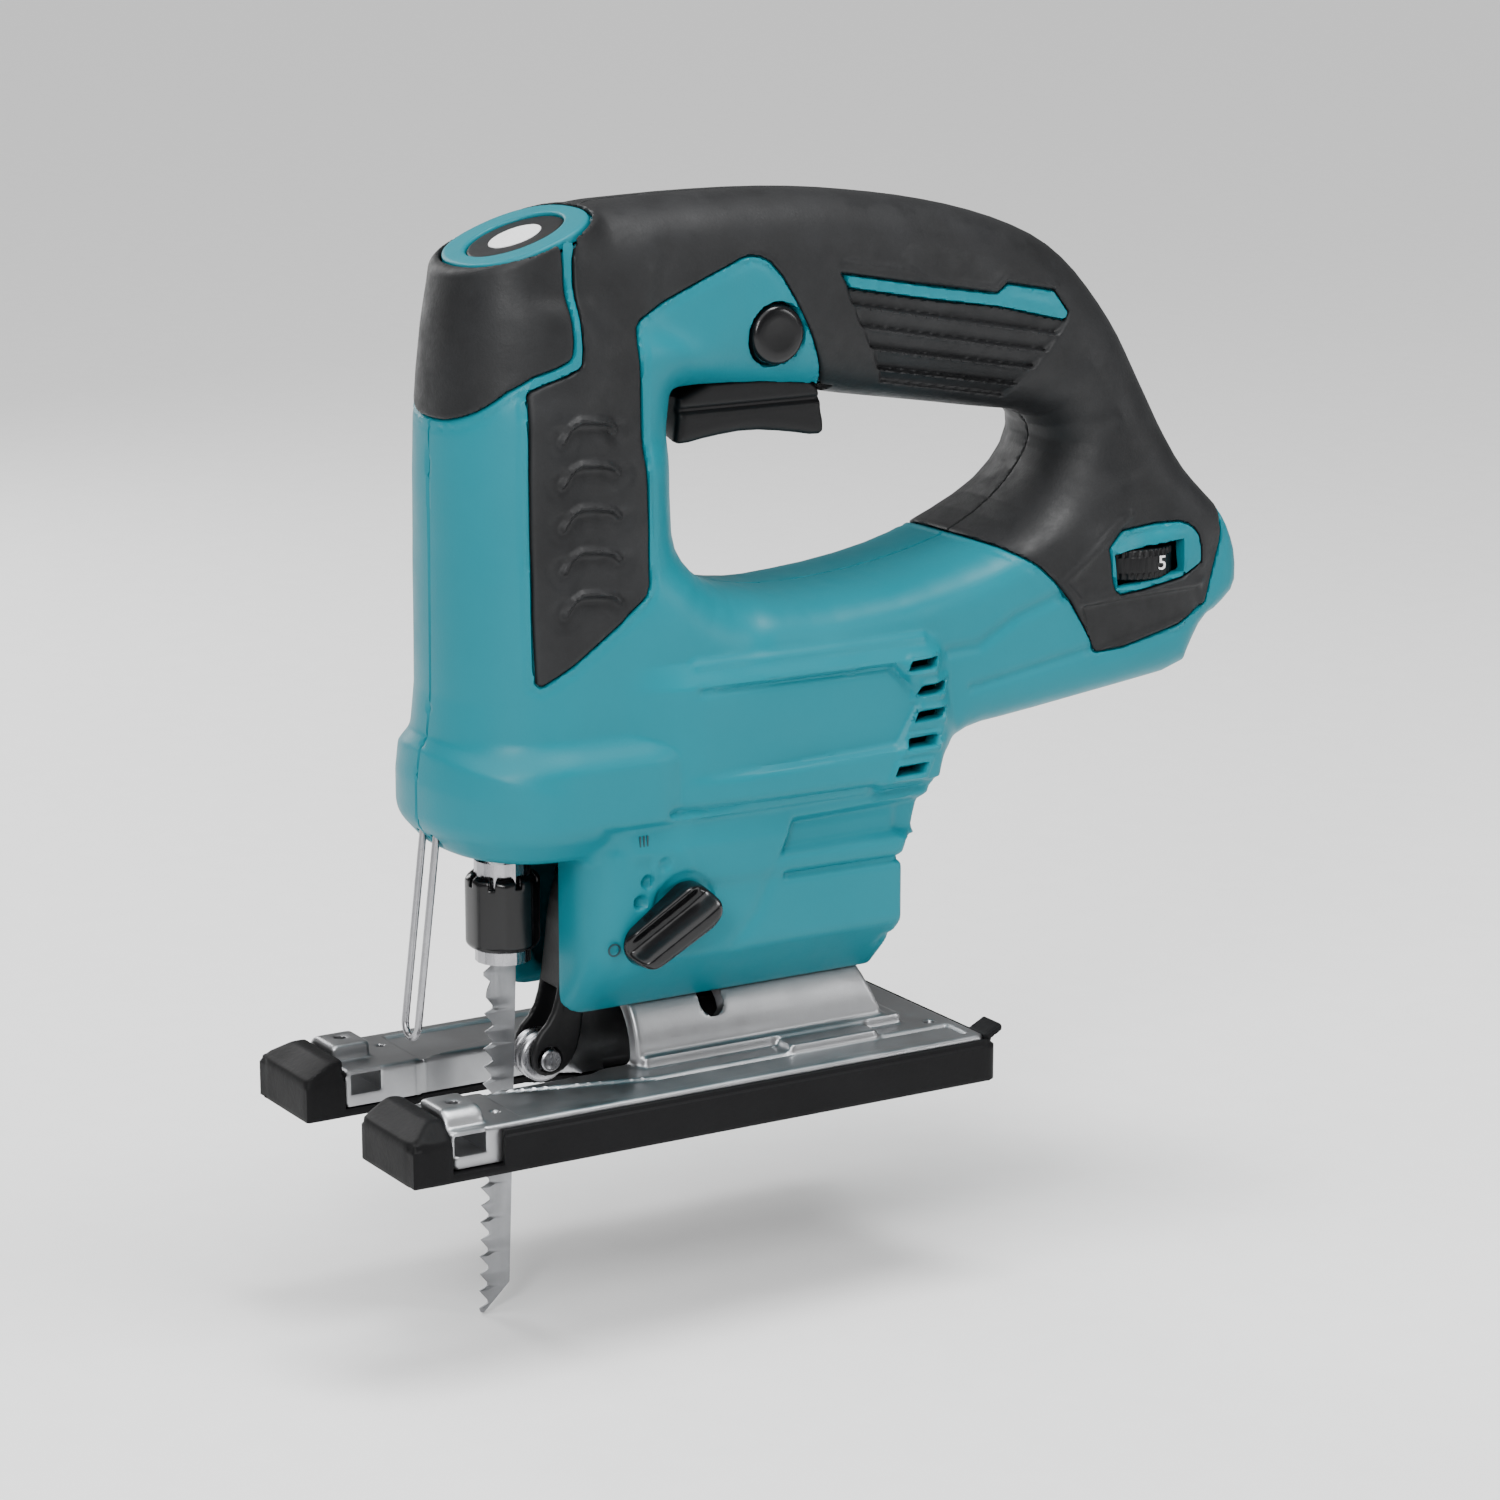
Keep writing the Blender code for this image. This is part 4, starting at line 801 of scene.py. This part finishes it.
def shells():
    """The two housing halves, their overmoulds and the front bumper."""
    for side, word in ((1, "left"), (-1, "right")):
        x = (0.0, 32.0) if side > 0 else (-32.0, 0.0)
        low, high = (x[0], -54.0, 21.5), (x[1], 154.0, 201.5)
        carve(f"{word}_shell", housing_field(side), low, high, SHELL_CELL,
              "teal", "housing", "housing_teal", f"{word}_housing")
        low, high = (x[0], -37.5, 90.0), (x[1], 152.0, 201.5)
        carve(f"{word}_overmould", grip_field(side), low, high, GRIP_CELL,
              "rubber", "housing", "grip_rubber", f"{word}_grip")
    carve("front_bumper", cap_field, (-25.5, -51.0, 153.0), (25.5, -24.0, 198.0), TRIM_CELL,
          "rubber", "housing", "grip_rubber", "front_cap")


# Smaller pieces


def crown():
    """The oval ring in the tilted top, with a dark lens and a blank round badge."""
    lens_half, lens_length = 11.0, 10.8

    def eye(x, along, grow):
        share = (x / (lens_half + grow)) ** 2 + (along / (lens_length + grow)) ** 2
        return (np.sqrt(share + 1e-9) - 1.0) * lens_length

    def ring(x, y, z):
        along, up = tilted(y, z)
        made = soft_max(top_opening(x, y, z, 17.75, 15.05), up - 0.1, 0.9)
        return np.maximum(soft_max(made, -eye(x, along, 0.2), 0.6), -2.0 - up)

    def lens(x, y, z):
        along, up = tilted(y, z)
        return np.maximum(soft_max(eye(x, along, 0.0), up + 0.45, 0.5), -2.0 - up)

    def badge(x, y, z):
        along, up = tilted(y, z)
        return np.maximum(soft_max(np.hypot(x, along) - 5.9, up + 0.25, 0.2), -0.75 - up)

    box = (-19.0, -43.0, 184.0), (19.0, -11.0, 201.0)
    carve("crown_ring", ring, *box, 0.4, "teal", "housing", "housing_teal", "top_ring")
    carve("crown_lens", lens, *box, 0.4, "lens_black", "housing", "black_plastic", "top_lens")
    carve("crown_badge", badge, *box, 0.3, "white", "housing", "lamp_lens")


def prong_outline():
    return [(-1.0, -6.4), (8.6, -6.4), (12.8, -15.2), (14.6, -19.0), (14.6, -44.0), (13.6, -47.0), (13.6, -64.1),
            (34.6, -64.1), (36.0, -62.6), (36.0, 70.2), (34.6, 71.6), (-1.0, 71.6)]


def casting(x, y, z):
    """Half of the cast base: plate, rims, saddle with its ledges, and the bridge over the fence slot."""
    ax = np.abs(x)
    tray = [(14.0, -46.0), (33.0, -46.0), (33.0, 69.0), (24.0, 69.0), (24.0, -8.0)]
    deck = 10.3 - 0.7 * plateau(tray, ax, y, 0.8)
    plate = soft_max(region(prong_outline(), ax, y), z - deck, 1.2)
    rear = 0.94 * (y - 57.0) + 0.35 * (z - 10.0)
    saddle = soft_max(np.hypot(x, z - BEVEL_AXIS_Z) - SADDLE_RADIUS, np.maximum(-8.0 - y, rear), 1.0)
    ledge = soft_max(soft_max(ax - 18.6, slab(y, -7.0, 60.0), 1.0), z - 12.7, 0.9)
    step = soft_max(soft_max(slab(ax, 17.0, 24.5), slab(y, 27.0, 50.0), 1.0), z - 11.8, 0.8)
    wing = soft_max(slab(ax, 21.0, 33.4), slab(y, -63.8, -54.4), 1.2)
    bridge = soft_max(soft_max(wing, z - 14.0, 1.2), (ax + z - 45.0) * 0.7071, 1.0)
    made = soft_min(soft_min(plate, saddle, 1.6), soft_min(ledge, soft_min(step, bridge, 1.2), 1.2), 1.2)
    made = np.maximum(made, 2.0 - z)
    holes = [
        np.maximum(slab(z, 4.8, 9.3), slab(y, -62.9, -55.5)),
        np.maximum(np.hypot(ax - 27.0, y + 59.0) - 1.3, 9.0 - z),
        np.maximum(np.hypot(ax - 21.0, y - 66.0) - 1.3, 8.6 - z),
        np.maximum(np.hypot(ax - 27.5, y + 49.0) - 0.9, 8.6 - z),
        np.maximum(np.hypot(x, z - BEVEL_AXIS_Z) - 13.4, slab(y, -30.0, 47.0)),
        np.maximum(np.maximum(ax - 10.0, slab(y, -2.0, 44.0)), z - 12.0),
        bolt_slot(x, y, z),
    ]
    for hole in holes:
        made = soft_max(made, -hole, 0.35)
    return made


def bolt_slot(x, y, z):
    """The clamp bolt's slot across the saddle, round-ended, 57 degrees to each side."""
    angle = np.arctan2(np.abs(x), z - BEVEL_AXIS_Z)
    over = np.maximum(angle - math.radians(57.0), 0.0) * 15.0
    return np.maximum(np.hypot(over, y - BOLT_Y) - 2.9, np.where(z > BEVEL_AXIS_Z - 4.0, -30.0, 30.0))


def cover(x, y, z):
    """The slip-on sole: a shallow tray with a bumper on each prong and a tab at the near rear corner."""
    ax = np.abs(x)
    fork = [(-1.0, -4.0), (6.0, -4.0), (14.3, -19.0), (14.3, -44.0), (13.3, -47.0), (13.3, -SOLE_END),
            (SOLE_HALF, -SOLE_END), (SOLE_HALF, SOLE_END), (-1.0, SOLE_END)]
    outline = soft_max(region(fork, ax, y), soft_max(ax - SOLE_HALF, y - SOLE_END, 4.0), 0.5)
    tray = soft_max(outline + 0.5 * ease(z, 8.0, 8.5), z - 9.6, 0.7)
    well = [(-1.0, -53.0), (5.0, -60.0), (5.0, -64.4), (42.0, -64.4), (42.0, -53.0), (36.4, -52.0),
            (36.4, 72.0), (-1.0, 72.0)]
    tray = soft_max(tray, -np.maximum(region(well, ax, y), 1.7 - z), 0.3)
    plan = soft_max(slab(ax, 13.3, SOLE_HALF), slab(y, -SOLE_END, -64.5), 2.2)
    plan = soft_max(plan, (ax - y - 109.0) * 0.7071, 1.5)
    crown_side = 0.8 * (z - 9.2) + 0.6 * (ax - SOLE_HALF)
    crown_front = 0.85 * (z - 9.2) - 0.53 * (y + SOLE_END)
    nose = soft_max(soft_max(plan, z - 12.9, 0.8), soft_max(crown_side, crown_front, 0.6), 0.6)
    lip = np.abs(0.45 * (y - 71.9) - 0.89 * (z - 9.3)) - 0.75
    tab = soft_max(soft_max(lip, slab(y, 71.5, 76.0), 0.5), slab(x, 28.5, 36.0), 0.5)
    made = soft_min(tray, nose, 0.4)
    return np.maximum(np.minimum(made, tab), -z)


def base():
    carve("base_casting", casting, (-36.6, -64.8, 1.6), (36.6, 72.2, 30.0), BASE_CELL,
          "cast", "base", "cast_aluminium", "base_plate")
    carve("sole_cover", cover, (-38.6, -74.2, -0.4), (38.6, 77.6, 13.4), BASE_CELL,
          "sole", "base", "black_plastic", "base_cover")


def strip_mesh(name, rings):
    """A closed mesh through rings of equal length, with flat ends."""
    bm = bmesh.new()
    loops = [[bm.verts.new(Vector(p) * MM) for p in ring] for ring in rings]
    count = len(rings[0])
    for low, high in zip(loops, loops[1:]):
        for i in range(count):
            bm.faces.new((low[i], low[(i + 1) % count], high[(i + 1) % count], high[i]))
    bm.faces.new(loops[0][::-1])
    bm.faces.new(loops[-1])
    bmesh.ops.recalc_face_normals(bm, faces=bm.faces)
    mesh = bpy.data.meshes.new(name)
    bm.to_mesh(mesh)
    bm.free()
    soften(mesh, 34.0)
    return link(name, mesh)


def saw_blade():
    """Wood blade: curved gullets, tooth tips that lean left and right in turn, and a broad shank."""
    tip, teeth_top, shank, back = -46.1, 27.0, 34.0, -29.3
    pitch, steps, half, width = 4.0, 12, 0.55, 7.3
    start = tip + 1.0
    levels = [tip] + [start + i * pitch / steps for i in range(int((teeth_top - start) * steps / pitch))]
    rings = []
    for z in levels + [27.5, 28.5, 30.0, 31.5, 32.4, 33.4, 34.4, 49.0]:
        lean = max(30.0 - z, 0.0) * 0.036
        phase = ((z - start) / pitch) % 1.0
        toothed = tip < z < teeth_top
        gullet = 2.1 * min(phase / 0.24, 1.0) ** 0.8 * min((1.0 - phase) / 0.62, 1.0)
        if not toothed:
            gullet = 0.4 + 0.9 * min(max(z - 28.0, 0.0), 2.0) / 2.0 - (1.6 if 31.0 < z < 33.0 else 0.0)
        point = max(-40.0 - z, 0.0) * 1.03
        low = back - lean - max(point, 1.6 if z > shank else 0.0)
        high = min(back - width - lean + gullet, low - 0.5)
        set_x = 0.22 * math.sin(math.pi * ((z - tip) / pitch)) if toothed else 0.0
        mid = high + 1.8 if low - high > 2.6 else (low + high) / 2
        rings.append([
            (-half, low, z), (half, low, z), (half, mid, z),
            (0.18 + set_x, high, z), (-0.18 + set_x, high, z), (-half, mid, z),
        ])
    place(strip_mesh("saw_blade", rings), "blade_steel", "plunger", "bright_steel", "blade")


def tube(name, path, radius, sides=14):
    """A bent wire along a path of points."""
    points = [Vector(p) for p in path]
    side = Vector((0.0, 1.0, 0.15)).normalized()
    rings = []
    for i, point in enumerate(points):
        ahead = (points[min(i + 1, len(points) - 1)] - points[max(i - 1, 0)]).normalized()
        other = ahead.cross(side).normalized()
        turned = [(math.cos(math.tau * k / sides), math.sin(math.tau * k / sides)) for k in range(sides)]
        rings.append([tuple(point + radius * (side * c + other * s)) for c, s in turned])
    return strip_mesh(name, rings)


def wire():
    """The blade guard: one steel wire, down, round and up."""
    top, foot, half = Vector((0.0, -49.9, 61.5)), Vector((0.0, -54.6, 23.6)), 3.1
    path = [top + Vector((-half, 0.6, 5.0)), top + Vector((-half, 0.1, 1.0))]
    path += [top.lerp(foot, t) + Vector((-half, 0.0, 0.0)) for t in (0.2, 0.5, 0.8, 1.0)]
    for a in np.linspace(0.2, math.pi - 0.2, 11):
        path.append(foot + Vector((-half * math.cos(a), -0.3 * math.sin(a), -half * math.sin(a))))
    path += [top.lerp(foot, t) + Vector((half, 0.0, 0.0)) for t in (1.0, 0.8, 0.5, 0.2)]
    path += [top + Vector((half, 0.1, 1.0)), top + Vector((half, 0.6, 5.0))]
    place(tube("guard_wire", path, 0.85), "steel", "housing", "bright_steel", "wire_guard")


def clamp(x, y, z):
    """The blade clamp's collar: eight soft flats, flutes and a notched upper edge."""
    v = y - PLUNGER_Y
    ring = np.hypot(x, v)
    angle = np.arctan2(v, x)
    flats = ring * np.cos((angle + math.pi / 8) % (math.pi / 4) - math.pi / 8)
    barrel = soft_max(flats - 7.9, ring - 8.3, 0.6)
    barrel = soft_max(barrel, 0.62 * (ring - 8.3) + 0.78 * (z - 53.4), 0.6)
    barrel = soft_max(barrel, 0.5 * (ring - 8.3) - 0.86 * (z - 38.6), 0.8)
    barrel = soft_max(barrel, slab(z, 36.8, 55.4), 0.5)
    notch = np.abs((angle + math.pi / 8) % (math.pi / 4) - math.pi / 8) * ring - 0.7
    barrel = soft_max(barrel, -np.maximum(notch, slab(z, 52.2, 60.0)), 0.3)
    return soft_max(barrel, 6.5 - ring, 0.3)


def holder(x, y, z):
    """The roller's curved arm, forked at its foot."""
    arm = rounded([
        (-27.6, 12.4), (-26.6, 16.6), (-22.6, 20.6), (-20.8, 26.0), (-19.6, 34.0), (-18.6, 44.0), (-16.4, 51.0),
        (-13.0, 54.0), (-9.4, 53.2), (-8.0, 50.0), (-8.6, 38.0), (-11.4, 30.0), (-14.2, 24.0), (-15.6, 14.0),
        (-18.6, 8.8), (-23.6, 7.3), (-26.8, 8.8),
    ], 1)
    made = soft_max(region(arm, y, z), np.abs(x) - 5.2, 1.2)
    rib = region(arm, y, z) + 1.6
    made = made + 0.5 * ease(-rib, 0.0, 0.8) * ease(np.abs(x), 4.0, 5.0) * ease(z, 20.0, 26.0)
    made = soft_max(made, -brick(x, y, z, (-3.3, 3.3), (-40.0, -12.0), (0.0, 27.0)), 0.5)
    made = soft_max(made, 2.9 - away(ROLLER_CENTRE, y, z), 0.3)
    return soft_max(made, 2.05 - away(HOLDER_PIVOT, y, z), 0.2)


def lathe(name, profile, axis, centre, sides=48):
    """A closed turned shape from (radius, position) pairs along x, y or z."""
    rings = []
    for radius, at in profile:
        ring = []
        for k in range(sides):
            u, v = radius * math.cos(math.tau * k / sides), radius * math.sin(math.tau * k / sides)
            offset = {"x": (at, u, v), "y": (u, at, v), "z": (u, v, at)}[axis]
            ring.append(tuple(c + o for c, o in zip(centre, offset)))
        rings.append(ring)
    return strip_mesh(name, rings)


def guide_roller():
    middle = (0.0, *ROLLER_CENTRE)
    wheel = lathe("guide_roller", [
        (2.9, -2.9), (4.9, -2.9), (5.4, -2.7), (5.7, -2.3), (5.7, -0.8), (5.3, -0.4), (5.2, 0.0), (5.3, 0.4),
        (5.7, 0.8), (5.7, 2.3), (5.4, 2.7), (4.9, 2.9), (2.9, 2.9), (2.9, 2.0), (2.85, 0.0), (2.9, -2.0),
    ], "x", middle, 64)
    bore_closed(wheel)
    place(wheel, "steel", "roller", "bright_steel", "blade_roller")
    pin = lathe("roller_axle", [
        (1.4, -6.0), (2.2, -6.0), (2.5, -5.7), (2.5, 5.7), (2.2, 6.0), (1.9, 6.0), (1.6, 5.8), (0.5, 5.8),
    ], "x", middle, 40)
    place(pin, "steel", "roller_arm", "bright_steel", "roller_pin")


def bore_closed(obj):
    """Turns a lathe's two end caps into one ring of faces, which makes a bore."""
    bm = bmesh.new()
    bm.from_mesh(obj.data)
    caps = [f for f in bm.faces if len(f.verts) > 4]
    edges = [e for f in caps for e in f.edges]
    bmesh.ops.delete(bm, geom=caps, context="FACES_ONLY")
    bmesh.ops.bridge_loops(bm, edges=edges)
    bmesh.ops.recalc_face_normals(bm, faces=bm.faces)
    bm.to_mesh(obj.data)
    bm.free()
    soften(obj.data, 34.0)


def lever_knob(x, y, z):
    """A capsule with a rounded crest along one side and a finger hollow on the other."""
    angle = math.radians(213.0)
    c, s = math.cos(angle), math.sin(angle)
    dy, dz = y - LEVER_PIVOT[0], z - LEVER_PIVOT[1]
    u, v = dy * c + dz * s, -dy * s + dz * c
    reach = np.hypot(u - np.clip(u, 0.0, 12.6), v)
    wall = reach - (5.7 - 0.05 * np.clip(u, 0.0, 12.6))
    top = 36.4 - 4.6 * ease(v, 1.2, -1.6) + 1.8 * ease(v, -2.6, -5.4) - 1.2 * ease(v, 2.6, 5.5)
    top = top - 0.10 * np.clip(u, 0.0, 14.0)
    made = soft_max(wall + 0.08 * (x - 28.0), x - top, 1.8)
    made = soft_max(made, 28.0 - x, 0.5)
    return np.minimum(made, np.maximum(np.hypot(dy, dz) - 3.0, slab(x, 20.4, 30.0)))


TRIGGER = rounded([
    (7.0, 160.5), (7.0, 147.0), (9.0, 146.2), (16.0, 147.2), (26.0, 147.8), (36.0, 146.8), (43.6, 145.3),
    (45.4, 146.4), (45.7, 156.0), (40.0, 160.5),
], 1)


def trigger(x, y, z):
    """A finger pad, dished along its face, with a thumb-soft edge all round."""
    dish = 1.2 * ease(np.abs(x), 0.0, 8.8) * ease(z, 152.0, 146.0)
    side = np.abs(x) - 8.8 + 0.9 * np.exp(-((z - 153.6) / 0.7) ** 2)
    made = soft_max(region(TRIGGER, y, z) + 1.0 - dish, side, 2.0)
    return np.maximum(made, z - 160.4)


def controls():
    carve("selector_knob", lever_knob, (20.0, -20.5, 34.0), (37.2, 5.0, 56.5), FINE_CELL,
          "gloss_black", "orbital_selector", "black_plastic", "orbital_lever")
    carve("trigger_pad", trigger, (-9.4, 6.0, 144.4), (9.4, 46.6, 161.4), 0.42,
          "black", "switch_trigger", "black_plastic", "trigger")
    half = [(0.4, 17.5), (3.4, 17.6), (5.0, 17.7), (5.9, 17.4), (6.4, 16.8), (6.6, 16.0)]
    profile = [(r, -x) for r, x in half] + [(r, x) for r, x in reversed(half)]
    knob = lathe("cross_bolt", profile, "x", (0.0, *LOCK_CENTRE), 64)
    place(knob, "gloss_black", "switch_lock", "black_plastic", "lock_button")
    carve("clamp_collar", clamp, (-9.2, PLUNGER_Y - 9.2, 36.0), (9.2, PLUNGER_Y + 9.2, 56.0), FINE_CELL,
          "gloss_black", "blade_collar", "black_plastic", "blade_clamp")
    carve("roller_fork", holder, (-5.8, -28.6, 6.6), (5.8, -7.2, 54.8), 0.42,
          "black", "roller_arm", "black_plastic", "roller_holder")


def thumb_wheel():
    """The speed dial: knurled rim, plain band for its figures."""
    x, y, z = DIAL_CENTRE
    sides, knurls = 240, 48
    half = [(3.4, 10.4, 0.0), (3.4, 11.2, 0.0), (3.1, 11.7, 0.45), (1.9, 11.8, 0.5), (1.7, 11.7, 0.0)]
    rings = []
    for rise, radius, depth in [(-h, r, d) for h, r, d in half] + half[::-1]:
        ring = []
        for k in range(sides):
            angle = math.tau * k / sides
            r = radius - depth * (0.5 + 0.5 * math.cos(angle * knurls))
            ring.append((x + r * math.cos(angle), y + r * math.sin(angle), z + rise))
        rings.append(ring)
    place(strip_mesh("thumb_wheel", rings), "black", "dial", "black_plastic", "speed_dial")


def label(name, body, text, size, centre, look, slot, bend=None):
    """Raised characters that face +X, on a flat side or bent round a radius."""
    curve = bpy.data.curves.new(name, "FONT")
    curve.body = text
    curve.size = size
    curve.extrude = 0.12
    curve.align_x, curve.align_y = "CENTER", "CENTER"
    source = link(name, curve)
    bpy.context.view_layer.update()
    graph = bpy.context.evaluated_depsgraph_get()
    mesh = bpy.data.meshes.new_from_object(source.evaluated_get(graph))
    bpy.data.objects.remove(source)
    for vertex in mesh.vertices:
        a, b, c = vertex.co
        drop = 0.0 if bend is None else bend - math.sqrt(max(bend * bend - a * a, 0.0))
        vertex.co = Vector((centre[0] + c - drop, centre[1] + a, centre[2] + b)) * MM
    place(link(name, mesh), look, body, slot)


def labels():
    """The dial's figure and two plain marks of the orbital scale."""
    x, y, z = DIAL_CENTRE
    label("figure_five", "dial", "5", 4.6, (x + DIAL_RADIUS, y + 3.2, z), "white", "lamp_lens", DIAL_RADIUS)
    # The III and O marks take the darkened teal: painted shade of the characters.
    label("mark_three", "housing", "III", 3.6, (27.72, -12.2, 64.6), "mark", "housing_teal")
    label("mark_zero", "housing", "O", 4.2, (26.9, -19.2, 41.2), "mark", "housing_teal")


def dress_cad():
    """Every CAD node gets the procedural look of its slot."""
    slots = {entry["node"]: entry["material_slot"] for entry in frame["record"]["subparts"]}
    for name, obj in frame["nodes"].items():
        if name not in slots:
            continue
        obj.data.materials.clear()
        obj.data.materials.append(LOOKS[SLOT_LOOKS[slots[name]]])


# Camera, light and floor


def camera():
    """The photograph's viewpoint."""
    data = bpy.data.cameras.new("camera")
    data.lens = 105.0
    data.sensor_width = 36.0
    data.clip_start = 0.01
    made = link("camera", data)
    right = Vector((0.5171, 0.8559, 0.0)).normalized()
    ahead = Vector((-0.8320, 0.5026, -0.2348)).normalized()
    up = right.cross(ahead).normalized()
    turn = Matrix((right, up, -ahead)).transposed()
    made.matrix_world = Matrix.Translation(Vector((816.1, -461.9, 304.2)) * MM) @ turn.to_4x4()
    bpy.context.scene.camera = made


def area_light(name, place_at, target, size, power):
    data = bpy.data.lights.new(name, "AREA")
    data.shape = "RECTANGLE"
    data.size, data.size_y = size
    data.energy = power
    made = link(name, data)
    made.location = place_at
    made.rotation_euler = (Vector(target) - Vector(place_at)).to_track_quat("-Z", "Y").to_euler()


def studio():
    """A soft sky, four area lights round the tool and a dim white world; lengths are metres here."""
    middle = (0.0, 0.04, 0.09)
    area_light("key", (0.75, -0.75, 0.62), middle, (0.25, 0.5), 9.0)
    area_light("top", (0.15, 0.15, 0.95), middle, (0.25, 0.6), 9.0)
    area_light("rear", (0.9, 0.9, 0.5), middle, (0.2, 0.6), 4.0)
    area_light("far", (-1.0, -0.1, 0.5), middle, (0.3, 0.8), 5.0)
    sun = bpy.data.lights.new("sky", "SUN")
    sun.energy = 2.6
    sun.angle = math.radians(70.0)
    made = link("sky", sun)
    made.rotation_euler = (math.radians(24.0), math.radians(14.0), 0.0)
    world = bpy.data.worlds.new("studio")
    world.use_nodes = True
    shade = world.node_tree.nodes["Background"]
    shade.inputs["Color"].default_value = (1.0, 1.0, 1.0, 1.0)
    shade.inputs["Strength"].default_value = 0.26
    bpy.context.scene.world = world


def floor():
    """Plain studio paper just under the blade's tip."""
    bm = bmesh.new()
    bmesh.ops.create_grid(bm, x_segments=2, y_segments=2, size=8.0)
    mesh = bpy.data.meshes.new("floor")
    bm.to_mesh(mesh)
    bm.free()
    made = link("floor", mesh)
    made.location.z = CAD_BOX[0][2] - 0.0006
    look, shader = new_material("floor_paper", (0.92, 0.92, 0.92), 0.7)
    tree = look.node_tree
    fibre = noise(tree, object_point(tree), 90.0, 4.0)
    tree.links.new(ramp(tree, fibre, 0.91, 0.93), shader.inputs["Base Color"])
    mesh.materials.append(look)


def main():
    dress_cad()
    shells()
    crown()
    base()
    saw_blade()
    wire()
    guide_roller()
    controls()
    thumb_wheel()
    labels()
    camera()
    studio()
    floor()


main()
